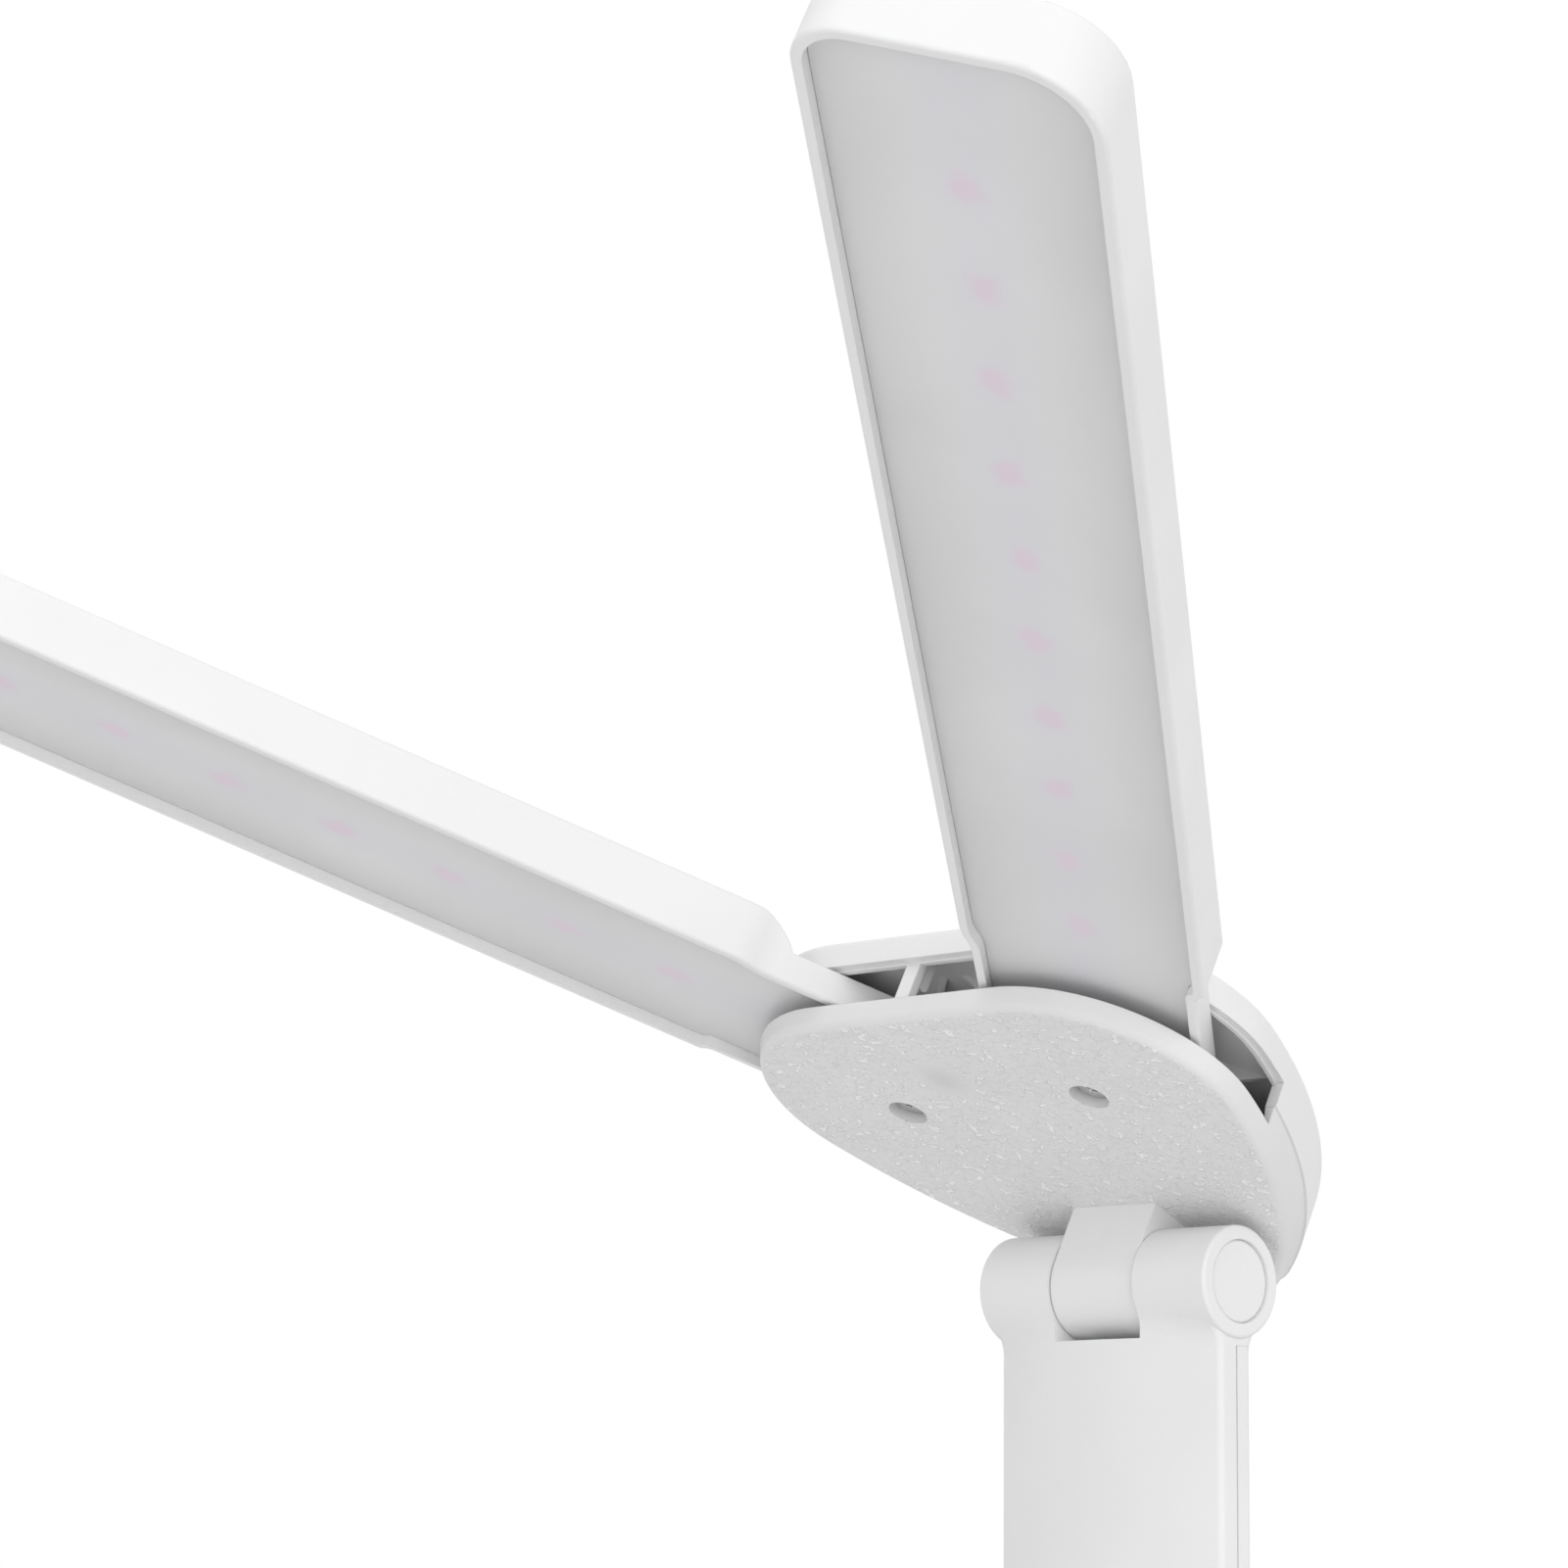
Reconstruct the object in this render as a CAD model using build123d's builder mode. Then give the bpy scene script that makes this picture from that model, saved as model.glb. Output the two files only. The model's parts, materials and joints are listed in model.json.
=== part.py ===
"""Folding LED desk lamp: a weighted base, a flat arm and a hub that carries two swinging light bars.

Frame: millimetres, +Z up, the light bars reach towards -Y, and +X is on the right when the lamp is
seen from the front.  The origin is the centre of the non-slip pad, on the table.
"""
import os
from math import acos, asin, atan2, cos, degrees, radians, sin, sqrt, tan

from build123d import *

os.makedirs("parts", exist_ok=True)

# ------------------------------------------------------------------ the pose that the lamp stands in
head_tilt = 27.1  # hub plane above the horizontal, degrees
right_splay = 34.8  # right light bar, outwards from straight ahead
left_splay = 33.6  # left light bar, outwards from straight ahead

# ------------------------------------------------------------------ fits
running_gap = 0.3  # between faces that pass each other
side_gap = 0.2  # tongue in its fork, on each side
shaft_gap = 0.05  # radial, round shafts and pins
seat_gap = 0.05  # round a piece that drops into a moulded seat
screw_gap = 0.05  # radial, round the shank and head of a screw

# ------------------------------------------------------------------ hinges, the same at both arm ends
barrel_radius = 7.6
barrel_length = 41.4
knuckle_radius = 7.1
tongue_width = 15.1
tongue_stand = 1.25  # the tongue's seat clears the barrels by this much
shaft_radius = 2.5
shaft_head_radius = 4.4
shaft_head_height = 2.2
shaft_head_chamfer = 0.4
nut_flats = 7.6
nut_height = 2.6
spring_washer_radius = 4.7
spring_washer_height = 0.8
spring_washer_count = 2
spring_washer_spread = 0.05  # between one washer and the next
shaft_overhang = 0.6  # thread that stands out of the nut
hinge_cap_ledge = 0.65  # the cap is this much larger than the counterbore that it closes
hinge_cap_height = 1.2
hinge_cap_inset = 0.3  # the cap lies this far inside the barrel's end
hinge_cap_chamfer = 0.3
hardware_room = 0.4  # between the bolt's end and the cap

# ------------------------------------------------------------------ arm
arm_length = 260.0  # from hinge axis to hinge axis
arm_front_crown = 6.3  # front face in front of the hinge plane, at the middle
arm_front_edge = 3.4  # the same at the long edges
arm_rear_crown = 3.7
arm_rear_edge = 2.6
arm_side_step = 0.55  # the arm is this much narrower than its barrels on each side
arm_edge_radius = 1.0
arm_neck_radius = 4.5  # hollow fillet between barrel and arm faces
barrel_edge_radius = 0.5
arm_wall = 1.8
arm_parting = -0.4  # where the rear cover meets the front shell, behind the hinge plane
arm_seam_width = 0.2
arm_seam_depth = 0.3
arm_rib_thickness = 1.2
arm_rib_count = 6
arm_rib_relief = 0.4  # gap between the ribs and the rear cover's parting plane
arm_end_block = 5.0  # solid length between each barrel and the arm's hollow
rear_cover_gap = 1.0  # the rear cover starts this far past the barrel
hook_thickness = 1.2
hook_root = 1.2
hook_reach = 1.2
hook_width = 8.0
lead_width = 5.0
lead_thickness = 1.4
lead_wall_gap = 0.4  # between the lead and the arm's front wall
lead_side_room = 0.5  # on each side of the lead in its slot

# ------------------------------------------------------------------ hub
pivot_offset = 16.75  # light bar pivots, left and right of the middle
pivot_reach = 33.4  # light bar pivots, in front of the tilt axis
hub_corner_radius = 23.4  # front corners, about the pivots
hub_side_radius = 95.0
hub_side_angle = 15.6  # where the corner arc runs into the side arc
hub_rear_radius = 13.0
hub_thickness = 13.0
hub_parting = 5.0  # top of the lower shell's wall
plate_inset = 0.25  # the lower shell is this much smaller all round where it meets the cover
plate_draft = 18.0  # the lower shell's side leans in by this angle, degrees
plate_thickness = 3.0
plate_edge_radius = 1.5
hub_wall = 1.5
hub_roof = 2.1
cover_edge_radius = 1.2
head_swing_limit = 80.0  # a light bar turns out this far from straight ahead, degrees
mouth_top = 8.3  # lower edge of the cover's skirt across the mouth
mouth_gap = 1.0  # between the mouth's end and a neck that is turned out to its limit
mouth_slant = 30.0  # the ends of the lower shell's wall lean back towards its floor
skirt_lip = 0.7  # inner part of the skirt, which hangs lower than the outer part
skirt_step = 0.3
locating_lip = 1.2
locating_lip_depth = 1.5  # above and below the parting line
locating_lip_setback = 3.0  # the lip ends this far behind the mouth
pivot_boss_radius = 4.4
pivot_collar_radius = 7.6
thrust_ring_radius = 8.0
thrust_ring_height = 0.5
centre_post_gap = 0.3  # between the post and the necks when the bars are parallel
centre_post_depth = 1.3
centre_post_setback = 0.25  # behind the edge of the lower shell's floor
centre_web_depth = 1.8  # web behind the post
centre_web_relief = 0.3  # the web is this much narrower than the post on each side
centre_web_drop = 2.4  # the web's rounded end above the lower shell's floor
gusset_angles = (-135, -45, 45, 135)  # from straight ahead, outwards
gusset_thickness = 1.0
gusset_knee = 17.0  # from the pivot to where a gusset's lower edge turns up
screw_recess_radius = 2.75
screw_recess_depth = 2.2
pivot_screw_head_radius = 2.3
pivot_screw_head_height = 1.0
pivot_screw_radius = 1.25
pivot_screw_length = 7.0
tongue_screw_radius = 1.25
tongue_screw_head_radius = 2.2
tongue_screw_head_height = 1.2
tongue_screw_length = 6.5
tongue_screw_spacing = 8.4
screw_floor = 2.0  # wall that the tongue's screws pass through, in the hub and in the pedestal

# ------------------------------------------------------------------ light bars
bar_length = 210.0  # from the pivot to the tip
bar_gap = 0.9  # between the two bars when they are parallel
bar_top = 12.3  # height of the bar's top above the hub's underside
thrust_gap = 0.1  # between the neck and the thrust ring under it
bar_outer_corner = 10.0
bar_inner_corner = 6.5
bar_edge_radius = 0.6
rim_edge_radius = 0.5
bar_roof = 1.6
neck_step = 1.1  # the neck is this much narrower than the bar on each side
outer_jog_gap = 3.4  # between the hub's corner arc and the step from neck to bar, on the outer side
outer_jog_run = 2.4
inner_jog_gap = 2.1
inner_jog_run = 6.0
shoulder_gap = 0.5  # between the hub's corner arc and the foot of the bar's shoulder
shoulder_run = 7.6  # length of the rounded shoulder along the bar
rim_width = 1.4
lens_depth = 1.5  # the lens lies this far inside the rim
lens_thickness = 1.5
lens_ledge = 1.0
lens_start = 13.0  # from the pivot
led_board_width = 16.0
led_board_thickness = 1.0
led_board_gap = 1.5  # between the shoulder and the board
led_board_tip_gap = 7.0  # between the board and the bar's tip
led_end_margin = 5.5  # from the board's ends to the middle of the first and last LED, at least
led_pitch = 16.67
led_length = 3.5
led_width = 2.8
led_height = 0.8
bush_radius = 5.8
pivot_washer_radius = 7.2
pivot_washer_height = 0.7
neck_channel_width = 9.0
neck_roof = 1.2

# ------------------------------------------------------------------ base
base_width = 98.0
base_depth = 150.0
base_corner_radius = 26.0
base_height = 22.0
base_edge_radius = 5.0
base_wall = 2.4
base_foot = 0.8  # the cover's rim stands this far above the table
base_plate_thickness = 2.0
pad_inset = 5.0
hinge_inset = 27.0  # arm hinge in front of the base's rear edge
fold_gap = 0.8  # between the folded heads and the base
pedestal_foot_depth = 22.0
pedestal_top_depth = 15.6
pedestal_foot_width = 46.0
pedestal_wall = 2.6
pedestal_corner = 4.0
pedestal_hollow_width = 25.0
pedestal_hollow_corner = 1.5
pedestal_screw_spacing = 34.0
pedestal_screw_room = 1.0  # bore beyond the screw's tip
wire_hole_width = 12.0
wire_hole_depth = 6.0
counterweight_width = 78.0
counterweight_depth = 64.0
counterweight_height = 7.0
counterweight_corner = 6.0
counterweight_chamfer = 0.6
counterweight_centre = 10.0  # behind the pad's centre
battery_width = 40.0
battery_depth = 55.0
battery_height = 5.6
battery_corner = 1.9
board_width = 52.0
board_depth = 30.0
board_thickness = 1.6
board_inset = 16.0  # the board's front edge, behind the base's front
board_height = 8.0  # underside of the board above the bottom plate
board_post_radius = 2.6
board_post_inset = 4.0  # from the board's edges to the posts' middles
touch_radius = 9.0
touch_disc_height = 1.0
touch_offset = 8.0  # in front of the board's middle
touch_contact_radius = 3.0
indicator_radius = 1.2
indicator_offset = 8.0  # behind the board's middle
usb_width = 9.0
usb_height = 3.2
usb_length = 7.4
usb_lift = 6.0  # socket's middle above the bottom plate's upper face
usb_wall = 0.3
usb_tongue_width = 6.6
usb_tongue_thickness = 0.7
usb_setback = 0.4  # the socket's mouth lies this far inside the rear wall
usb_board_gap = 1.6  # between the socket's board and the rear wall
usb_board_width = 18.0
usb_board_depth = 14.0
usb_board_thickness = 1.2
base_screw_radius = 1.4
base_screw_head_radius = 2.6
base_screw_head_height = 1.1
base_screw_length = 9.0
base_boss_radius = 3.6
base_boss_inset = 14.0  # from the base's sides to the bosses' middles

# ------------------------------------------------------------------ sizes and places that follow from these
tongue_height = barrel_radius + tongue_stand  # from the hinge axis to the face that the tongue stands on
washer_stack = spring_washer_count * spring_washer_height
hardware_depth = washer_stack + nut_height + shaft_overhang + hardware_room
hardware_bore = max(spring_washer_radius, shaft_head_radius, nut_flats / 2 / cos(radians(30))) + running_gap
hinge_cap_radius = hardware_bore + hinge_cap_ledge
lead_slot = lead_width + 2 * lead_side_room
lead_slot_depth = lead_thickness + 2 * running_gap
lead_centre = arm_wall + lead_wall_gap + lead_thickness / 2 - arm_front_crown
hub_reach = tongue_height + hub_thickness  # outer face of the hub, from the tilt axis
hinge_setback = base_depth / 2 - hinge_inset
lower_axis_height = base_height + hub_reach + fold_gap
upper_axis_height = lower_axis_height + arm_length
lower_axis = Vector(0, hinge_setback, lower_axis_height)
lower_plane = Plane(origin=lower_axis)
upper_axis = Vector(0, hinge_setback, upper_axis_height)
barrel_half = barrel_length / 2
arm_half = barrel_half - arm_side_step
fork_half = tongue_width / 2 + side_gap
notch_depth = knuckle_radius + running_gap
web_face = barrel_half - hinge_cap_inset - hinge_cap_height - hardware_depth

tilt = radians(head_tilt)
hub_normal = (0, sin(tilt), cos(tilt))
tilt_plane = Plane(origin=upper_axis, x_dir=(1, 0, 0), z_dir=hub_normal)
hub_plane = tilt_plane.offset(tongue_height)  # z = 0 is the hub's underside
hub_axis = Axis(hub_plane.origin, hub_normal)
bar_width = 2 * pivot_offset - bar_gap
bar_bottom = plate_thickness + thrust_ring_height + thrust_gap
neck_width = bar_width - 2 * neck_step
neck_top = mouth_top - running_gap
shoulder_foot = hub_corner_radius + shoulder_gap
shoulder_top = shoulder_foot + shoulder_run
mouth_corner_turn = radians(head_swing_limit) - acos((neck_width / 2 + mouth_gap) / hub_corner_radius)
mouth_end = pivot_reach - hub_corner_radius * sin(mouth_corner_turn)
cover_wall = plate_inset + hub_wall + seat_gap
underside_inset = plate_inset + hub_parting * tan(radians(plate_draft))
floor_inset = plate_inset + (hub_parting - plate_thickness) * tan(radians(plate_draft))
hub_ceiling = hub_thickness - hub_roof
pivot_collar_height = hub_ceiling - neck_top - pivot_washer_height - 2 * shaft_gap
centre_post_width = 2 * (pivot_offset - neck_width / 2 - centre_post_gap)
led_board_start = shoulder_top + led_board_gap
led_board_end = bar_length - led_board_tip_gap
led_first = led_board_start + led_end_margin
led_count = 1 + int((led_board_end - led_end_margin - led_first) / led_pitch)
base_top_inside = base_height - base_wall
plate_top = base_foot + base_plate_thickness
pedestal_top = lower_axis_height - tongue_height
pedestal_bore_depth = tongue_screw_length - base_wall + pedestal_screw_room
board_centre = board_inset + board_depth / 2 - base_depth / 2
touch_centre = board_centre - touch_offset
indicator_centre = board_centre + indicator_offset
board_top = plate_top + board_height + board_thickness
usb_board_centre = base_depth / 2 - base_wall - usb_board_gap - usb_board_depth / 2
usb_axis_height = plate_top + usb_lift


def save(part, name):
    """Label a finished sub-part and write its STEP file."""
    part.label = name
    export_step(part, f"parts/{name}.step")


# =================================================================== hinge hardware
def make_tongue(name, plane, stand):
    """Knuckle on the hinge axis with a block down (or up) to the face that it stands on."""
    with BuildPart() as tongue:
        with BuildSketch(Plane(origin=plane.origin, x_dir=plane.y_dir, z_dir=plane.x_dir)):
            Circle(knuckle_radius)
            with Locations((0, stand * tongue_height / 2)):
                Rectangle(2 * knuckle_radius, tongue_height)
            Circle(shaft_radius + shaft_gap, mode=Mode.SUBTRACT)
        extrude(amount=tongue_width / 2, both=True)
        with Locations(plane.offset(stand * tongue_height)):
            with GridLocations(tongue_screw_spacing, 0, 2, 1):
                Cylinder(tongue_screw_radius, 2 * (tongue_screw_length - screw_floor), mode=Mode.SUBTRACT)
    save(tongue.part, name)


def make_hinge_hardware(prefix, axis_point):
    """Shoulder bolt, nut, spring washers and the two end caps of one hinge."""
    left_end = Plane(origin=axis_point - Vector(web_face, 0, 0), x_dir=(0, 1, 0), z_dir=(1, 0, 0))
    right_end = Plane(origin=axis_point + Vector(web_face, 0, 0), x_dir=(0, 1, 0), z_dir=(1, 0, 0))

    with BuildPart() as shaft:
        with BuildSketch(left_end):
            Circle(shaft_radius)
        extrude(amount=2 * web_face + washer_stack + nut_height + shaft_overhang)
        with BuildSketch(left_end):
            Circle(shaft_head_radius)
        extrude(amount=-shaft_head_height)
        chamfer(shaft.edges().group_by(Axis.X)[0], shaft_head_chamfer)
    save(shaft.part, f"{prefix}_hinge_shaft")

    with BuildPart() as nut:
        with BuildSketch(right_end.offset(washer_stack)):
            RegularPolygon(nut_flats / 2, 6, major_radius=False)
            Circle(shaft_radius, mode=Mode.SUBTRACT)
        extrude(amount=nut_height)
    save(nut.part, f"{prefix}_hinge_nut")

    with BuildPart() as washers:
        for index in range(spring_washer_count):
            with BuildSketch(right_end.offset(index * spring_washer_height)):
                Circle(spring_washer_radius)
                Circle(shaft_radius + shaft_gap, mode=Mode.SUBTRACT)
            extrude(amount=spring_washer_height - spring_washer_spread)
    save(washers.part, f"{prefix}_spring_washers")

    for side, word in ((-1, "left"), (1, "right")):
        face = axis_point + Vector(side * (barrel_half - hinge_cap_inset), 0, 0)
        with BuildPart() as cap:
            with BuildSketch(Plane(origin=face, x_dir=(0, 1, 0), z_dir=(side, 0, 0))):
                Circle(hinge_cap_radius)
            extrude(amount=-hinge_cap_height)
            chamfer(cap.edges().group_by(Axis.X)[0 if side < 0 else -1], hinge_cap_chamfer)
        save(cap.part, f"{prefix}_hinge_cap_{word}")


# =================================================================== arm
def arm_section(inset):
    """Crowned section of the arm, drawn in plan."""
    half = arm_half - inset
    with BuildSketch() as section:
        with BuildLine():
            front = ThreePointArc((-half, inset - arm_front_edge), (0, inset - arm_front_crown),
                                  (half, inset - arm_front_edge))
            rear = ThreePointArc((half, arm_rear_edge - inset), (0, arm_rear_crown - inset),
                                 (-half, arm_rear_edge - inset))
            Line(front @ 1, rear @ 0)
            Line(rear @ 1, front @ 0)
        make_face()
    return section.sketch


def make_arm_body():
    """The arm's outer form in one piece: crowned bar, two barrels and the hollow necks between them."""
    with BuildPart() as body:
        with BuildSketch(Plane(origin=lower_axis)):
            add(arm_section(0))
        extrude(amount=arm_length)
        for axis_point in (lower_axis, upper_axis):
            with BuildSketch(Plane(origin=axis_point, x_dir=(0, 1, 0), z_dir=(1, 0, 0))):
                Circle(barrel_radius)
            extrude(amount=arm_half, both=True)
        fillet(body.edges().filter_by(GeomType.BSPLINE), arm_neck_radius)
        fillet(body.faces().filter_by(Axis.X).edges(), arm_edge_radius)
        # the barrels' ends stand a little out of the arm's sides
        for axis_point in (lower_axis, upper_axis):
            with BuildSketch(Plane(origin=axis_point, x_dir=(0, 1, 0), z_dir=(1, 0, 0))):
                Circle(barrel_radius)
            extrude(amount=barrel_half, both=True)
        ends = body.edges().filter_by(GeomType.CIRCLE).group_by(Axis.X)
        fillet(ends[0] + ends[-1], barrel_edge_radius)
    return body.part


def make_arm_shells():
    body = make_arm_body()
    cavity_end = barrel_radius + arm_end_block
    cavity_plane = Plane(origin=lower_axis + Vector(0, 0, cavity_end))
    cavity_length = arm_length - 2 * cavity_end
    rear_start = barrel_radius + rear_cover_gap
    rear_length = arm_length - 2 * rear_start
    rib_step = cavity_length / (arm_rib_count + 1)
    rear_box = Box(2 * barrel_length, 4 * barrel_radius, rear_length,
                   align=(Align.CENTER, Align.MIN, Align.MIN), mode=Mode.PRIVATE)
    rear_box = Pos(0, hinge_setback + arm_parting, lower_axis_height + rear_start) * rear_box

    with BuildPart() as front:
        add(body)
        add(rear_box, mode=Mode.SUBTRACT)
        with BuildSketch(cavity_plane):
            add(arm_section(arm_wall))
        extrude(amount=cavity_length, mode=Mode.SUBTRACT)
        # cross ribs, low enough to clear the rear cover, with a slot for the lead
        for index in range(arm_rib_count):
            with BuildSketch(cavity_plane.offset((index + 1) * rib_step)):
                add(arm_section(arm_wall / 2))
                with Locations((0, barrel_radius + arm_parting - arm_rib_relief)):
                    Rectangle(barrel_length, 2 * barrel_radius, mode=Mode.SUBTRACT)
                Rectangle(lead_slot, 2 * barrel_radius, mode=Mode.SUBTRACT)
            extrude(amount=arm_rib_thickness)
        # forks for the two tongues, and the lead's way through the end blocks
        for axis_point, side in ((lower_axis, -1), (upper_axis, 1)):
            with BuildSketch(Plane(origin=axis_point, x_dir=(0, 1, 0), z_dir=(1, 0, 0))):
                with Locations((0, side * (barrel_radius - notch_depth) / 2)):
                    Rectangle(4 * barrel_radius, barrel_radius + notch_depth)
            extrude(amount=fork_half, both=True, mode=Mode.SUBTRACT)
            with BuildSketch(Plane(origin=axis_point)):
                with Locations((0, lead_centre)):
                    Rectangle(lead_slot, lead_slot_depth)
            extrude(amount=-side * (cavity_end + running_gap), mode=Mode.SUBTRACT)
            # shaft bore, hardware counterbores and cap seats
            for end in (-1, 1):
                with BuildSketch(Plane(origin=axis_point, x_dir=(0, 1, 0), z_dir=(end, 0, 0))):
                    Circle(shaft_radius + shaft_gap)
                extrude(amount=barrel_half, mode=Mode.SUBTRACT)
                with BuildSketch(Plane(origin=axis_point + Vector(end * web_face, 0, 0),
                                       x_dir=(0, 1, 0), z_dir=(end, 0, 0))):
                    Circle(hardware_bore)
                extrude(amount=barrel_half, mode=Mode.SUBTRACT)
                with BuildSketch(Plane(origin=axis_point + Vector(end * (web_face + hardware_depth), 0, 0),
                                       x_dir=(0, 1, 0), z_dir=(end, 0, 0))):
                    Circle(hinge_cap_radius)
                extrude(amount=barrel_half, mode=Mode.SUBTRACT)
    save(front.part, "arm_front_shell")

    with BuildPart() as rear:
        add(body)
        add(rear_box, mode=Mode.INTERSECT)
        with BuildSketch(cavity_plane):
            add(arm_section(arm_wall))
        extrude(amount=cavity_length, mode=Mode.SUBTRACT)
        # snap hooks that reach into the front shell, half-way between ribs, in every other bay
        inner = arm_half - arm_wall
        for bay in range(1, arm_rib_count, 2):
            hook_place = (bay + 1 / 2) * rib_step + arm_rib_thickness / 2
            for side in (-1, 1):
                with BuildSketch(cavity_plane.offset(hook_place)):
                    with BuildLine():
                        Polyline((side * (inner + seat_gap), arm_parting),
                                 (side * (inner + seat_gap), arm_parting + hook_root),
                                 (side * (inner - hook_thickness), arm_parting + hook_root),
                                 (side * (inner - hook_thickness), arm_parting - hook_reach),
                                 (side * (inner - hook_thickness / 2), arm_parting - hook_reach),
                                 (side * (inner - seat_gap), arm_parting - hook_reach / 2),
                                 (side * (inner - seat_gap), arm_parting), close=True)
                    make_face()
                extrude(amount=hook_width / 2, both=True)
        # seam that shows along both sides
        with Locations((0, hinge_setback + arm_parting, (lower_axis_height + upper_axis_height) / 2)):
            with GridLocations(2 * arm_half, 0, 2, 1):
                Box(2 * arm_seam_depth, 2 * arm_seam_width, arm_length, mode=Mode.SUBTRACT)
    save(rear.part, "arm_rear_cover")

    with BuildPart() as lead:
        with BuildSketch(Plane(origin=lower_axis + Vector(0, 0, notch_depth + running_gap))):
            with Locations((0, lead_centre)):
                SlotOverall(lead_width, lead_thickness)
        extrude(amount=arm_length - 2 * (notch_depth + running_gap))
    save(lead.part, "arm_lead")


# =================================================================== hub
def pick_outline(inset):
    """Outline of the hub seen from above: two corner arcs about the pivots, two side arcs, one rear arc."""
    angle = radians(hub_side_angle)
    side_offset = hub_side_radius - hub_corner_radius
    side_x = pivot_offset - side_offset * cos(angle)
    side_y = -pivot_reach - side_offset * sin(angle)
    rear_y = side_y + sqrt((hub_side_radius - hub_rear_radius) ** 2 - side_x ** 2)
    turn = degrees(atan2(rear_y - side_y, -side_x))
    corner = hub_corner_radius - inset
    side = hub_side_radius - inset
    rear = hub_rear_radius - inset
    with BuildSketch() as outline:
        with BuildLine():
            Line((-pivot_offset, -pivot_reach - corner), (pivot_offset, -pivot_reach - corner))
            CenterArc((pivot_offset, -pivot_reach), corner, -90, 90 + hub_side_angle)
            CenterArc((side_x, side_y), side, hub_side_angle, turn - hub_side_angle)
            CenterArc((0, rear_y), rear, turn, 180 - 2 * turn)
            CenterArc((-side_x, side_y), side, 180 - turn, turn - hub_side_angle)
            CenterArc((-pivot_offset, -pivot_reach), corner, 180 - hub_side_angle, 90 + hub_side_angle)
        make_face()
    return outline.sketch


def mouth_cutter(low, high, low_end, high_end):
    """Space across the front of the hub, with its ends this far in front of the hinge at `low` and `high`."""
    with BuildPart() as cutter:
        with BuildSketch(Plane.YZ):
            with BuildLine():
                Polyline((-2 * hub_side_radius, low), (-low_end, low), (-high_end, high),
                         (-2 * hub_side_radius, high), close=True)
            make_face()
        extrude(amount=hub_side_radius, both=True)
    return hub_plane.location * cutter.part


def mouth_ring(outer, inner, low, high, end):
    """Part of the mouth between two of the hub's outlines."""
    with BuildPart() as ring:
        with BuildSketch(hub_plane.offset(low)):
            add(pick_outline(outer))
            add(pick_outline(inner), mode=Mode.SUBTRACT)
        extrude(amount=high - low)
        add(mouth_cutter(low, high, end, end), mode=Mode.INTERSECT)
    return ring.part


def pivot_points():
    return [(-pivot_offset, -pivot_reach), (pivot_offset, -pivot_reach)]


def make_hub_plate():
    slant_back = (hub_parting - plate_thickness) * tan(radians(mouth_slant))
    with BuildPart() as plate:
        with BuildSketch(hub_plane):
            add(pick_outline(underside_inset))
        with BuildSketch(hub_plane.offset(hub_parting)):
            add(pick_outline(plate_inset))
        loft(ruled=True)
        fillet(plate.edges().group_by(hub_axis)[0], plate_edge_radius)
        with BuildSketch(hub_plane.offset(plate_thickness)):
            add(pick_outline(plate_inset + hub_wall))
        extrude(amount=hub_thickness, mode=Mode.SUBTRACT)
        mouth = mouth_cutter(plate_thickness, hub_parting, mouth_end - slant_back, mouth_end)
        add(mouth, mode=Mode.SUBTRACT)
        # thrust rings under the two necks
        with BuildSketch(hub_plane.offset(plate_thickness)):
            with Locations(*pivot_points()):
                Circle(thrust_ring_radius)
                Circle(pivot_boss_radius + seat_gap, mode=Mode.SUBTRACT)
        extrude(amount=thrust_ring_height)
        # screws: recesses in the underside at the pivots, countersunk seats inside for the tongue
        with Locations(hub_plane):
            with Locations(*[(x, y, 0) for x, y in pivot_points()]):
                Cylinder(screw_recess_radius, 2 * screw_recess_depth, mode=Mode.SUBTRACT)
                Cylinder(pivot_screw_radius + screw_gap, 3 * plate_thickness, mode=Mode.SUBTRACT)
        with Locations(hub_plane.offset(plate_thickness)):
            with GridLocations(tongue_screw_spacing, 0, 2, 1):
                Cylinder(tongue_screw_radius + screw_gap, 3 * plate_thickness, mode=Mode.SUBTRACT)
                Cylinder(tongue_screw_head_radius + screw_gap, 2 * (plate_thickness - screw_floor),
                         mode=Mode.SUBTRACT)
    save(plate.part, "hub_plate")


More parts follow.
